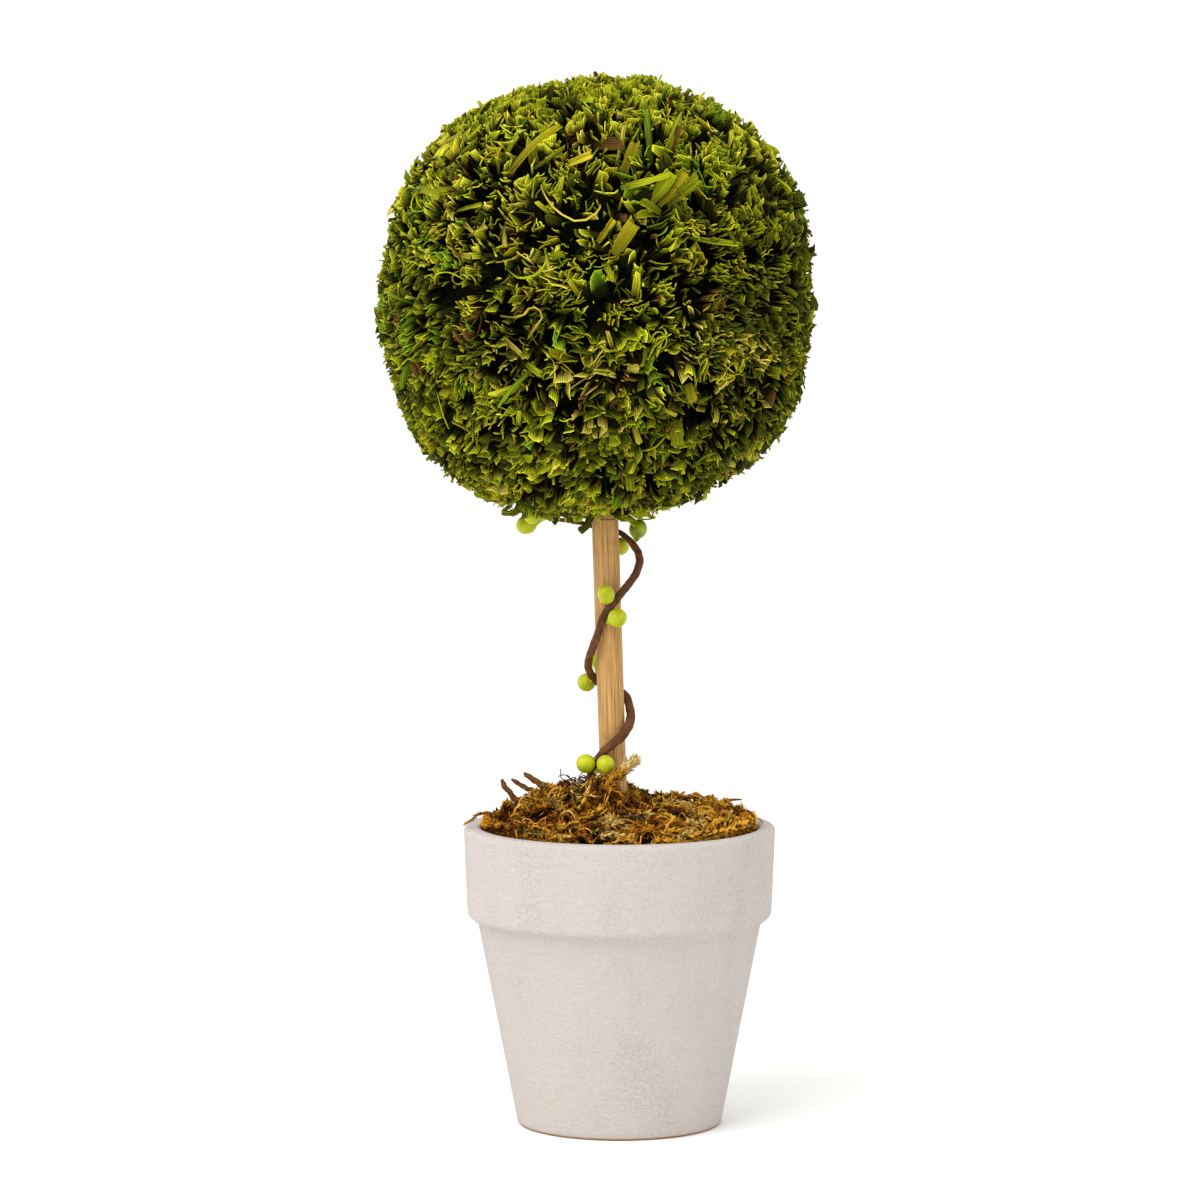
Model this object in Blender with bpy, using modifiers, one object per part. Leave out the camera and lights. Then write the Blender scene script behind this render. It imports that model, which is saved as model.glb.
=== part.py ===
"""A ball topiary of dried, dyed leaf strips on a wooden stick, in a whitewashed clay pot.

The pot is turned and filled with a foam block that the stick is planted in. Moss covers the
block. A paper-wrapped wire vine with pairs of berries climbs round the stick into the underside
of the ball. Every sub-part is its own object, and neighbours keep a small gap.

Units are metres, +Z is up, and the origin is the centre of the pot's flat underside. The front
of the topiary faces -Y.
"""

import math
import random

import bmesh
import bpy
from mathutils import Matrix, Vector, noise

MM = 0.001
GAP = 0.3 * MM                # kept between neighbouring solids

# Pot
POT_HEIGHT = 104 * MM
RIM_RADIUS = 54 * MM          # outside of the collar, at the lip
COLLAR_HEIGHT = 32 * MM
COLLAR_DRAFT = 1.2 * MM       # how much narrower the collar is at its foot
COLLAR_STEP = 3.6 * MM        # how far the collar stands out of the body
BASE_RADIUS = 35.4 * MM
WALL = 6 * MM                 # width of the lip, and the thickness of the floor
INNER_BASE_RADIUS = 29.5 * MM
LIP_ROUND = 1.6 * MM
FOOT_ROUND = 1.1 * MM
POT_STEPS = 48

# Foam block and moss
FOAM_TOP = 92 * MM
MOSS_LEVEL = 102.6 * MM       # where the moss meets the pot's wall
MOSS_PEAK = Vector((-13 * MM, 3 * MM))  # the bed's highest place, left of the stick
MOSS_RISE = 13.5 * MM
MOSS_LUMP = 2.4 * MM
MOSS_STRANDS = 58

# Stick
STICK_RADIUS = 4.65 * MM
STICK_FOOT = 34 * MM          # height of its lower end, inside the foam block
STICK_TOP = 262 * MM          # height of its upper end, inside the ball
STICK_LEAN = 0.0322           # sideways run for each unit of height, to -X
STICK_CENTRE_HEIGHT = 54 * MM  # the height at which the stick crosses the pot's axis
STICK_SIDES = 28

# Ball
BALL_HEIGHT = 286.4 * MM      # of its centre
BALL_HALF_WIDTH = 75 * MM
BALL_HALF_HEIGHT = 76.6 * MM
BALL_SQUARENESS = 2.35        # 2 is an ellipsoid, and more is squarer
BALL_LUMP = 1.3 * MM
CORE_DEPTH = 6 * MM           # how far the strips stand out of the core
STRIP_COUNT = 430
STRIP_ROOT = 3 * MM           # how deep a strip's root is sunk in the core

# Vine and berries
VINE_RADIUS = 1.4 * MM
VINE_POINTS_PER_SPAN = 3
BERRY_RADIUS = 3.3 * MM
BERRY_STEPS = 9
STALK_RADIUS = 0.55 * MM

# The vine's stations: height, angle round the stick from +X, and distance from its axis. It
# climbs anticlockwise as seen from above, hugs the stick, and bows out under the ball.
VINE_STATIONS = (
    (103.0 * MM, 204, 9.2 * MM),
    (119.0 * MM, 206, 9.0 * MM),
    (125.5 * MM, 218, 8.4 * MM),
    (131.3 * MM, 254, 7.3 * MM),
    (136.5 * MM, 308, 6.9 * MM),
    (143.0 * MM, 362, 6.7 * MM),
    (149.0 * MM, 405, 6.7 * MM),
    (152.3 * MM, 475, 6.7 * MM),
    (158.5 * MM, 536, 7.4 * MM),
    (166.0 * MM, 581, 7.6 * MM),
    (177.5 * MM, 620, 6.9 * MM),
    (184.5 * MM, 665, 7.4 * MM),
    (191.5 * MM, 703, 10.4 * MM),
    (198.0 * MM, 728, 11.4 * MM),
    (204.6 * MM, 763, 8.1 * MM),
    (206.8 * MM, 830, 6.6 * MM),
    (208.8 * MM, 887, 8.6 * MM),
    (210.6 * MM, 901, 20.0 * MM),
)

# Each berry: the station its stalk grows from, where its middle is, its size, and how much
# longer than wide it is.
BERRIES = (
    (17.0, (-32.1, 1.0, 208.3), 1.02, 1.10),
    (16.7, (-30.4, -5.2, 211.3), 0.74, 1.00),
    (13.5, (6.4, 1.0, 206.8), 0.97, 1.06),
    (13.7, (0.4, 9.8, 200.1), 0.94, 1.00),
    (10.4, (-4.7, -9.9, 185.1), 0.92, 1.20),
    (9.6, (-0.8, -10.0, 177.0), 1.00, 1.04),
    (7.3, (-11.4, 8.8, 152.8), 1.00, 1.00),
    (7.3, (-7.3, 7.8, 160.7), 0.95, 1.00),
    (2.7, (-11.7, -10.0, 126.7), 1.01, 1.00),
    (1.4, (-4.9, -11.0, 126.6), 0.96, 1.00),
)

# Stalks and blades that stand up out of the moss: name, foot, direction in degrees from +X, run,
# rise at the middle and at the tip, and radius. Each is one curved, tapering limb.
MOSS_LIMBS = (
    ("bark_curl_1", (-21 * MM, -4 * MM), 182, 12.0 * MM, 6.0 * MM, 9.6 * MM, 1.3 * MM),
    ("bark_curl_2", (-26 * MM, 5 * MM), 180, 11.6 * MM, 3.9 * MM, 7.2 * MM, 1.1 * MM),
    ("bark_curl_3", (-30 * MM, -1 * MM), 186, 10.8 * MM, 2.0 * MM, 9.0 * MM, 1.3 * MM),
    ("moss_sprig", (-9 * MM, -15 * MM), 6, 15.0 * MM, 8.0 * MM, 16.5 * MM, 1.9 * MM),
    ("grass_blade", (1 * MM, 9 * MM), 352, 13.5 * MM, 3.2 * MM, -2.0 * MM, 0.6 * MM),
    ("rim_twig", (32 * MM, 18 * MM), 5, 11.0 * MM, 4.4 * MM, 4.6 * MM, 0.7 * MM),
)

# Two strands of the moss with a place of their own, as stations in millimetres: one lies over the
# lip on the left, and one curls up in a loop on the right.
PLACED_STRANDS = (
    ((-37, -7, 104), (-43, -7, 108.5), (-48, -8, 107.2), (-53.2, -9, 105.9)),
    ((34, -12, 103), (37.5, -12, 110.2), (43, -10, 111.6), (44.8, -9, 105), (41, -10, 102)),
)

COLORS = {
    # name: base colour (linear), roughness
    "whitewashed_clay": ((0.71, 0.65, 0.58), 0.92),
    "dry_foam": ((0.13, 0.16, 0.06), 0.95),
    "stick_wood": ((0.56, 0.35, 0.16), 0.62),
    "dried_leaf": ((0.16, 0.22, 0.02), 0.7),
    "vine_paper": ((0.12, 0.05, 0.025), 0.8),
    "berry_skin": ((0.50, 0.58, 0.05), 0.45),
    "dry_moss": ((0.40, 0.22, 0.05), 0.95),
    "dry_bark": ((0.14, 0.075, 0.03), 0.9),
    "straw": ((0.60, 0.42, 0.17), 0.9),
    "grass_green": ((0.04, 0.09, 0.02), 0.8),
}


# ---------------------------------------------------------------- helpers


def clear_scene():
    """Removes what the startup file holds."""
    for thing in list(bpy.data.objects):
        bpy.data.objects.remove(thing)


def new_collection(name, hidden=False):
    """A collection under the scene's. A hidden one holds cutters and guides."""
    group = bpy.data.collections.new(name)
    group.hide_render = hidden
    bpy.context.scene.collection.children.link(group)
    return group


def material(name):
    """The Principled material of that name."""
    found = bpy.data.materials.get(name)
    if found:
        return found
    color, roughness = COLORS[name]
    made = bpy.data.materials.new(name)
    made.use_nodes = True
    shader = made.node_tree.nodes["Principled BSDF"]
    shader.inputs["Base Color"].default_value = (*color, 1)
    shader.inputs["Roughness"].default_value = roughness
    shader.inputs["Metallic"].default_value = 0
    made.diffuse_color = (*color, 1)
    return made


def add_object(name, data, group, finish=None):
    """An object for this data, in its collection and with its material."""
    thing = bpy.data.objects.new(name, data)
    group.objects.link(thing)
    if group.hide_render:
        thing.hide_render = True
        thing.display_type = "WIRE"
    if finish:
        data.materials.clear()
        data.materials.append(material(finish))
    return thing


def mesh_of(bm, name):
    """The bmesh as a mesh, with the bmesh freed."""
    data = bpy.data.meshes.new(name)
    bm.to_mesh(data)
    bm.free()
    return data


def turned(name, profile, steps, group, finish):
    """A solid of revolution round Z: the profile of (radius, height) points, screwed once round."""
    bm = bmesh.new()
    points = [bm.verts.new((radius, 0, height)) for radius, height in profile]
    for first, second in zip(points, points[1:]):
        bm.edges.new((first, second))
    thing = add_object(name, mesh_of(bm, name), group, finish)
    screw = thing.modifiers.new("Turn", "SCREW")
    screw.steps = screw.render_steps = steps
    screw.use_merge_vertices = True
    screw.merge_threshold = 0.00001
    screw.use_normal_calculate = True
    return thing


def arc(centre, radius, start, end, parts):
    """Points on an arc, with its angles in degrees."""
    turns = [math.radians(start + (end - start) * i / parts) for i in range(parts + 1)]
    return [(centre[0] + radius * math.cos(a), centre[1] + radius * math.sin(a)) for a in turns]


def smooth_route(stations, parts):
    """Points on a Catmull-Rom curve through the stations, with this many to a span."""
    ends = [stations[0], *stations, stations[-1]]
    route = []
    for i in range(len(stations) - 1):
        a, b, c, d = ends[i:i + 4]
        for step in range(parts):
            t = step / parts
            route.append(
                0.5 * (2 * b + (c - a) * t + (2 * a - 5 * b + 4 * c - d) * t ** 2
                       + (3 * b - a - 3 * c + d) * t ** 3)
            )
    return [*route, stations[-1]]


def limb(name, route, radii, group, finish, sides=8):
    """A round limb along a route as one closed mesh. Three sides come from a bevel object."""
    curve = bpy.data.curves.new(name, "CURVE")
    curve.dimensions = "3D"
    curve.twist_mode = "Z_UP" if sides == 3 else "MINIMUM"
    curve.use_fill_caps = True
    if sides == 3:
        curve.bevel_mode = "OBJECT"
        curve.bevel_object = bpy.data.objects["three_sides"]
    else:
        curve.bevel_depth = 1
        curve.bevel_resolution = (sides - 4) // 2
    spline = curve.splines.new("POLY")
    spline.points.add(len(route) - 1)
    for point, place, radius in zip(spline.points, route, radii):
        point.co = (*place, 1)
        point.radius = radius
    guide = add_object(name + ".route", curve, group)
    bpy.context.view_layer.update()
    graph = bpy.context.evaluated_depsgraph_get()
    data = bpy.data.meshes.new_from_object(guide.evaluated_get(graph))
    bm = bmesh.new()
    bm.from_mesh(data)
    bmesh.ops.remove_doubles(bm, verts=bm.verts, dist=0.000001)
    bmesh.ops.recalc_face_normals(bm, faces=bm.faces)
    bm.to_mesh(data)
    bm.free()
    bpy.data.objects.remove(guide)
    return add_object(name, data, group, finish)


def three_sided_profile(group):
    """The triangle that three-sided twigs take as their section."""
    curve = bpy.data.curves.new("three_sides", "CURVE")
    spline = curve.splines.new("POLY")
    spline.points.add(2)
    for index, point in enumerate(spline.points):
        angle = math.radians(120 * index)
        point.co = (math.cos(angle), math.sin(angle), 0, 1)
    spline.use_cyclic_u = True
    add_object("three_sides", curve, group)


def boolean(thing, operation, group, solver):
    """One Boolean with a whole collection, applied. The collection's objects are then removed."""
    cut = thing.modifiers.new(operation, "BOOLEAN")
    cut.operation = operation
    cut.operand_type = "COLLECTION"
    cut.collection = group
    cut.solver = solver
    bpy.context.view_layer.update()
    graph = bpy.context.evaluated_depsgraph_get()
    made = bpy.data.meshes.new_from_object(thing.evaluated_get(graph))
    thing.modifiers.clear()
    thing.data = made
    for other in list(group.objects):
        bpy.data.objects.remove(other)


def drop_scraps(thing):
    """Keeps the largest connected piece of a mesh, and drops what a cut has left loose."""
    bm = bmesh.new()
    bm.from_mesh(thing.data)
    left = set(bm.verts)
    islands = []
    while left:
        island = {left.pop()}
        edge_of_it = list(island)
        while edge_of_it:
            vert = edge_of_it.pop()
            for edge in vert.link_edges:
                other = edge.other_vert(vert)
                if other in left:
                    left.remove(other)
                    island.add(other)
                    edge_of_it.append(other)
        islands.append(island)
    islands.sort(key=len)
    loose = [vert for island in islands[:-1] for vert in island]
    bmesh.ops.delete(bm, geom=loose, context="VERTS")
    bm.to_mesh(thing.data)
    bm.free()


class Keepout:
    """Balls along the limbs, which leaves and strands must stay clear of."""

    def __init__(self):
        self.balls = []

    def add(self, points, radius):
        self.balls += [(point, radius) for point in points]

    def touches(self, points, width):
        for place, radius in self.balls:
            reach = radius + width + GAP
            if any((point - place).length < reach for point in points):
                return True
        return False


# ---------------------------------------------------------------- pot and filling


def inner_radius(height):
    """Radius of the pot's straight inner wall at a height."""
    share = (height - WALL) / (POT_HEIGHT - WALL)
    return INNER_BASE_RADIUS + share * (RIM_RADIUS - WALL - INNER_BASE_RADIUS)


def pot_profile():
    """Inside floor, up the inner wall, over the lip, down the collar and body, and under."""
    collar_foot = POT_HEIGHT - COLLAR_HEIGHT
    foot_radius = RIM_RADIUS - COLLAR_DRAFT
    body_top = foot_radius - COLLAR_STEP
    under = arc((foot_radius - 2.4 * MM, collar_foot + 2.4 * MM), 2.4 * MM, 0, -80, 3)
    hollow = arc((body_top + 1.6 * MM, collar_foot - 2.4 * MM), 1.8 * MM, 100, 178, 2)
    return [
        (0, WALL),
        (INNER_BASE_RADIUS - 2 * MM, WALL),
        (INNER_BASE_RADIUS + 0.3 * MM, WALL + 2 * MM),
        *arc((RIM_RADIUS - WALL + LIP_ROUND, POT_HEIGHT - LIP_ROUND), LIP_ROUND, 180, 90, 3),
        *arc((RIM_RADIUS - LIP_ROUND, POT_HEIGHT - LIP_ROUND), LIP_ROUND, 90, 0, 3),
        *under,
        *hollow,
        (BASE_RADIUS + 0.2 * MM, FOOT_ROUND),
        (BASE_RADIUS - FOOT_ROUND, 0),
        (0, 0),
    ]


def stick_axis(height):
    """The point of the stick's axis at a height."""
    return Vector((-STICK_LEAN * (height - STICK_CENTRE_HEIGHT), 0, height))


def stick_solid(name, radius, foot, top, group, finish=None):
    """A cylinder along the stick's axis, from one height to the other."""
    low, high = stick_axis(foot), stick_axis(top)
    bm = bmesh.new()
    bmesh.ops.create_cone(
        bm, cap_ends=True, segments=STICK_SIDES, radius1=radius, radius2=radius,
        depth=(high - low).length,
    )
    thing = add_object(name, mesh_of(bm, name), group, finish)
    thing.location = (low + high) / 2
    thing.rotation_euler = (high - low).to_track_quat("Z", "Y").to_euler()
    return thing


def make_foam(group, cutters):
    """The dry foam in the pot, a cone frustum clear of the wall, with the stick's hole in it."""
    floor, slack = WALL + 2.3 * MM, 1.02 * GAP
    bm = bmesh.new()
    bmesh.ops.create_cone(
        bm, cap_ends=True, segments=POT_STEPS, depth=FOAM_TOP - floor,
        radius1=inner_radius(floor) - slack - GAP, radius2=inner_radius(FOAM_TOP) - slack,
        matrix=Matrix.Translation((0, 0, (FOAM_TOP + floor) / 2)),
    )
    foam = add_object("foam_block", mesh_of(bm, "foam_block"), group, "dry_foam")
    stick_solid("hole", STICK_RADIUS + GAP, STICK_FOOT - GAP, POT_HEIGHT, cutters)
    boolean(foam, "DIFFERENCE", cutters, "EXACT")


# ---------------------------------------------------------------- vine and berries


def vine_place(station):
    """The point of the vine at a station."""
    height, angle, distance = station
    turn = math.radians(angle)
    return stick_axis(height) + distance * Vector((math.cos(turn), math.sin(turn), 0))


def vine_route():
    """The vine's points, smoothed as heights, angles and distances so that it stays clear."""
    stations = smooth_route([Vector(s) for s in VINE_STATIONS], VINE_POINTS_PER_SPAN)
    return [vine_place(station) for station in stations]


def vine_radii(route):
    """The vine is thickest where it first crosses the stick, and thins out under the ball."""
    last = len(route) - 1
    radii = []
    for index, place in enumerate(route):
        swell = 1 + 0.17 * math.exp(-((place.z - 138 * MM) / (9 * MM)) ** 2)
        taper = min(1, 0.42 + 0.07 * (last - index))
        radii.append(VINE_RADIUS * swell * taper)
    return radii


def berry_profile(radius, length, stretch):
    """A berry hung on a stalk along +Z, with its middle at this length from the stalk's foot."""
    half = radius * stretch
    bulb = [
        (radius * math.cos(math.radians(a)), length + half * math.sin(math.radians(a)))
        for a in (60, 34, 8, -18, -42)
    ]
    neck = length - min(1.22 * half, length - 0.6 * MM)
    return [
        (0, length + half),
        *bulb,
        (STALK_RADIUS + 0.12 * radius, neck),
        (STALK_RADIUS, 0.3 * neck),
        (STALK_RADIUS, 0),
        (0, 0),
    ]


def stalk_clearance(route, radii, index, way):
    """How far from the vine's centre line a stalk that leaves it this way starts."""
    last = len(route) - 1
    tangent = (route[min(index + 1, last)] - route[index - 1]).normalized()
    along, across = abs(way.dot(tangent)), way.cross(tangent).length
    beside = (radii[index] + GAP + STALK_RADIUS * along) / across
    return beside if index < last else (GAP + STALK_RADIUS * across) / along


def make_vine(group, keepout):
    """The wire vine, and the berries on it, each with its stalk's foot just clear of the vine."""
    route = vine_route()
    radii = vine_radii(route)
    limb("vine", route, radii, group, "vine_paper")
    keepout.add(route, 1.3 * VINE_RADIUS)
    for number, (station, middle, size, stretch) in enumerate(BERRIES, 1):
        index = min(round(station * VINE_POINTS_PER_SPAN), len(route) - 1)
        middle = Vector(middle) * MM
        way = (middle - route[index]).normalized()
        foot = route[index] + way * stalk_clearance(route, radii, index, way)
        profile = berry_profile(BERRY_RADIUS * size, (middle - foot).length, stretch)
        berry = turned(f"berry_{number:02d}", profile, BERRY_STEPS, group, "berry_skin")
        berry.location = foot
        berry.rotation_euler = way.to_track_quat("Z", "Y").to_euler()
        keepout.add([middle], BERRY_RADIUS * size * stretch)
        keepout.add([(middle + foot) / 2], 0.5 * BERRY_RADIUS)


# ---------------------------------------------------------------- moss


def moss_height(x, y):
    """Height of the bed of moss: a lumpy dome that is highest left of the stick."""
    edge = inner_radius(MOSS_LEVEL)
    wall = 1 - (math.hypot(x, y) / edge) ** 3
    peak = math.exp(-((Vector((x, y)) - MOSS_PEAK).length / (25 * MM)) ** 2)
    lump = MOSS_LUMP * noise.noise(Vector((x, y, 0)) / (9 * MM))
    return MOSS_LEVEL + max(0, wall) * (MOSS_RISE * (0.44 + 0.56 * peak) + lump)


def moss_core(group):
    """The bed itself, a flat-bottomed disc whose top follows moss_height."""
    radius = inner_radius(FOAM_TOP) - 1.1 * GAP
    bm = bmesh.new()
    bmesh.ops.create_cone(
        bm, cap_ends=True, cap_tris=False, segments=36, depth=MOSS_LEVEL - FOAM_TOP - GAP,
        radius1=radius, radius2=radius,
        matrix=Matrix.Translation((0, 0, (MOSS_LEVEL + FOAM_TOP + GAP) / 2)),
    )
    top = max(bm.faces, key=lambda face: face.calc_center_median().z)
    for ring in range(5):
        bmesh.ops.inset_region(bm, faces=[top], thickness=radius / 6, use_even_offset=True)
    bmesh.ops.poke(bm, faces=[top])
    for vert in bm.verts:
        if vert.co.z > FOAM_TOP + 1 * MM:
            vert.co.z = moss_height(vert.co.x, vert.co.y)
    return add_object("moss_bed", mesh_of(bm, "moss_bed"), group, "dry_moss")


def moss_limb_route(foot, direction, run, middle, rise):
    """A limb that leaves the moss steeply and bends over towards its tip."""
    x, y = foot
    base = Vector((x, y, moss_height(x, y) - 3 * MM))
    way = Vector((math.cos(math.radians(direction)), math.sin(math.radians(direction)), 0))
    stations = [
        base,
        base + way * run * 0.18 + Vector((0, 0, 3 * MM + middle * 0.5)),
        base + way * run * 0.58 + Vector((0, 0, 3 * MM + middle)),
        base + way * run + Vector((0, 0, 3 * MM + rise)),
    ]
    return smooth_route(stations, 3)


def tapered(count, radius, tip=0.35):
    return [radius * (1 - (1 - tip) * (i / (count - 1)) ** 1.5) for i in range(count)]


def make_moss(group, twigs, cutters, keepout):
    """The bed with its strands, and the stalks that stand in sockets in it."""
    rng = random.Random(71)
    finishes = {"moss_sprig": "dry_moss", "grass_blade": "grass_green"}
    for name, foot, direction, run, middle, rise, radius in MOSS_LIMBS:
        route = moss_limb_route(foot, direction, run, middle, rise)
        radii = tapered(len(route), radius)
        limb(name, route, radii, group, finishes.get(name, "dry_bark"), sides=6)
        wider = [(r + GAP) / math.cos(math.radians(30)) for r in radii]
        below = [route[0] - GAP * (route[1] - route[0]).normalized(), *route]
        limb("socket." + name, below, [wider[0], *wider], cutters, None, sides=6)
        keepout.add(route[2:], radius)
    bed = moss_core(group)
    for number, stations in enumerate(PLACED_STRANDS):
        route = smooth_route([Vector(place) * MM for place in stations], 2)
        limb(f"placed_{number}", route, tapered(len(route), 1.5 * MM, 0.8), twigs, None, sides=3)
        keepout.add(route[2:], 1.2 * MM)
    turn = 0
    for strand in range(MOSS_STRANDS):
        # Evenly spread over the bed, and as many tries as it takes to find room for each.
        reach = math.sqrt((strand + 0.5) / MOSS_STRANDS) * (inner_radius(MOSS_LEVEL) - 2.5 * MM)
        turn += math.pi * (3 - math.sqrt(5))
        for attempt in range(12):
            route, radii = moss_strand(rng, reach * math.cos(turn), reach * math.sin(turn))
            if not (keepout.touches(route, radii[0]) or leaves_the_pot(route, radii[0])):
                limb(f"strand_{strand}", route, radii, twigs, None, sides=3)
                break
    boolean(bed, "UNION", twigs, "MANIFOLD")
    stick_solid("socket.stick", STICK_RADIUS + GAP, FOAM_TOP - 5 * MM, 140 * MM, cutters)
    route = vine_route()[:3 * VINE_POINTS_PER_SPAN]
    below = [route[0] - Vector((0, 0, GAP)), *route]
    wider = (VINE_RADIUS + GAP) / math.cos(math.radians(22.5))
    limb("socket.vine", below, [wider] * len(below), cutters, None)
    boolean(bed, "DIFFERENCE", cutters, "EXACT")
    drop_scraps(bed)


def moss_strand(rng, x, y):
    """A curled strand that rises from the bed, arches over and dips back towards it."""
    turn = rng.uniform(0, 2 * math.pi)
    run = rng.uniform(8, 15) * MM
    rise = rng.uniform(1.6, 4.2) * MM
    curl = rng.uniform(-1.2, 1.2)
    route = []
    for step in range(4):
        t = step / 3
        heading = turn + curl * t
        place = Vector((x, y, 0)) + t * run * Vector((math.cos(heading), math.sin(heading), 0))
        place.z = moss_height(place.x, place.y) - 1.2 * MM
        place.z += (rise + 1.2 * MM) * math.sin(math.radians(20 + 110 * t))
        route.append(place)
    radius = rng.uniform(1.3, 2.1) * MM
    return route, tapered(4, radius, 0.6)


def leaves_the_pot(route, radius):
    """Whether a strand would reach the pot's wall or the lip."""
    for place in route:
        reach = math.hypot(place.x, place.y) + radius
        over_lip = place.z - radius > POT_HEIGHT + GAP
        if reach > inner_radius(MOSS_LEVEL) - GAP and not over_lip:
            return True
    return False


# ---------------------------------------------------------------- ball


def ball_radius(way):
    """Distance from the ball's centre to its clipped surface, along a unit direction."""
    level = math.hypot(way.x, way.y) / BALL_HALF_WIDTH
    upright = abs(way.z) / BALL_HALF_HEIGHT
    power = BALL_SQUARENESS
    plain = (level ** power + upright ** power) ** (-1 / power)
    return plain + BALL_LUMP * noise.noise(way * 2.3 + Vector((5.1, 0.7, 2.9)))


def ball_centre():
    return stick_axis(BALL_HEIGHT)


def leaf_strip(rng, way):
    """A flared three-sided blade from inside the core out to the clipped surface."""
    lean = Vector([rng.gauss(0, 1) for _ in range(3)])
    tilt = (way + lean * 0.16).normalized()
    start = way * (ball_radius(way) - CORE_DEPTH - STRIP_ROOT)
    # The tip lies on the clipped surface, or a little inside it.
    length = CORE_DEPTH + STRIP_ROOT - abs(rng.gauss(0, 0.9)) * MM
    tip = start + tilt * length
    outward = tip.normalized()
    tip = outward * min(tip.length, ball_radius(outward))
    width = rng.uniform(6.5, 11.5) * MM
    thick = rng.uniform(1.6, 2.6) * MM
    section = math.sqrt(3)
    bm = bmesh.new()
    bmesh.ops.create_cone(
        bm, cap_ends=True, segments=3, radius1=0.55 * width / section, radius2=width / section,
        depth=(tip - start).length,
    )
    flatten = Matrix.Diagonal((1, thick / (1.5 * width / section), 1, 1))
    roll = Matrix.Rotation(rng.uniform(0, 2 * math.pi), 4, "Z")
    aim = (tip - start).to_track_quat("Z", "Y").to_matrix().to_4x4()
    place = Matrix.Translation(ball_centre() + (start + tip) / 2)
    bmesh.ops.transform(bm, matrix=place @ aim @ roll @ flatten, verts=bm.verts)
    corners = [vert.co.copy() for vert in bm.verts]
    middle = sum(corners, Vector()) / len(corners)
    return bm, [*corners, middle]


def make_ball(group, leaves, cutters, keepout):
    """The ball: a core of foam and packed leaf, strips standing out of it, and the stick's hole."""
    rng = random.Random(23)
    bm = bmesh.new()
    bmesh.ops.create_icosphere(bm, subdivisions=4, radius=1)
    for vert in bm.verts:
        way = vert.co.normalized()
        vert.co = ball_centre() + way * (ball_radius(way) - CORE_DEPTH)
    ball = add_object("leaf_ball", mesh_of(bm, "leaf_ball"), group, "dried_leaf")
    golden = math.pi * (3 - math.sqrt(5))
    for index in range(STRIP_COUNT):
        z = 1 - 2 * (index + 0.5) / STRIP_COUNT
        turn = index * golden
        flat = math.sqrt(1 - z * z)
        jitter = Vector([rng.gauss(0, 0.022) for _ in range(3)])
        way = (Vector((flat * math.cos(turn), flat * math.sin(turn), z)) + jitter).normalized()
        strip, points = leaf_strip(rng, way)
        if keepout.touches(points, 0.5 * MM):
            strip.free()
            continue
        add_object(f"strip_{index}", mesh_of(strip, f"strip_{index}"), leaves)
    boolean(ball, "UNION", leaves, "MANIFOLD")
    stick_solid("hole", STICK_RADIUS + GAP, 150 * MM, STICK_TOP + GAP, cutters)
    boolean(ball, "DIFFERENCE", cutters, "EXACT")
    drop_scraps(ball)


# ---------------------------------------------------------------- assembly


def main():
    clear_scene()
    topiary = new_collection("ball_topiary")
    guides = new_collection("guides", hidden=True)
    cutters = new_collection("cutters", hidden=True)
    twigs = new_collection("twigs", hidden=True)
    three_sided_profile(guides)
    keepout = Keepout()
    keepout.add([stick_axis(90 * MM + step * 2 * MM) for step in range(90)], STICK_RADIUS)
    turned("pot", pot_profile(), POT_STEPS, topiary, "whitewashed_clay")
    make_foam(topiary, cutters)
    stick_solid("stick", STICK_RADIUS, STICK_FOOT, STICK_TOP, topiary, "stick_wood")
    make_vine(topiary, keepout)
    make_moss(topiary, twigs, cutters, keepout)
    make_ball(topiary, twigs, cutters, keepout)
    for thing in topiary.objects:
        if thing.type == "MESH":
            thing.data.shade_smooth()
            thing.data.set_sharp_from_angle(angle=math.radians(40))


main()
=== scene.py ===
"""A ball topiary of dried leaf strips in a whitewashed clay pot, dressed on its CAD frame.

The pot, stick, vine, berries, moss and leaf ball are each remade in fine detail where the CAD
node lies. The ball's strips stand out of a core by the rule that the CAD source uses: directions
spread by the golden angle, a tilt for each, and tips on one clipped surface. Units are metres,
+Z is up, and the front faces -Y.
"""

import math

import bmesh
import bpy
import numpy as np
from bpy.props import FloatProperty, FloatVectorProperty, IntProperty, PointerProperty
from bpy.types import Operator, Panel, PropertyGroup
from mathutils import Matrix, Vector, noise
from mathutils.kdtree import KDTree


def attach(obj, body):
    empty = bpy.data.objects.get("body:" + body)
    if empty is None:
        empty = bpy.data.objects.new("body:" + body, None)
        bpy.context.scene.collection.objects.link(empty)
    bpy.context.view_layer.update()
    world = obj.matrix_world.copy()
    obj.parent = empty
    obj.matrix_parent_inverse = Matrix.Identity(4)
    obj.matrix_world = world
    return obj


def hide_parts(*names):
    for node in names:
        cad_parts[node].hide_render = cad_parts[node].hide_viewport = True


bl_info = {
    "name": "Ball topiary",
    "version": (1, 0, 0),
    "blender": (4, 5, 0),
    "location": "3D View > Sidebar > Topiary",
    "description": "Dresses the ball topiary's CAD frame with leaf, moss, clay and wood",
    "category": "Add Mesh",
}

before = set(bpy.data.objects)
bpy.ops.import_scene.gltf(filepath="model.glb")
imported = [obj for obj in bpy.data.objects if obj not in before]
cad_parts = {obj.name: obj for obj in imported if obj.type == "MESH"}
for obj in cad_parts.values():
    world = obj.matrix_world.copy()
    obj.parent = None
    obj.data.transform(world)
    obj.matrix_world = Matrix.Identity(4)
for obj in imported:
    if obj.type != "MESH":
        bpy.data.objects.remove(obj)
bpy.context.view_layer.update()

MM = 0.001
GAP = 0.3 * MM
GOLDEN = math.pi * (3 - math.sqrt(5))

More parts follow.
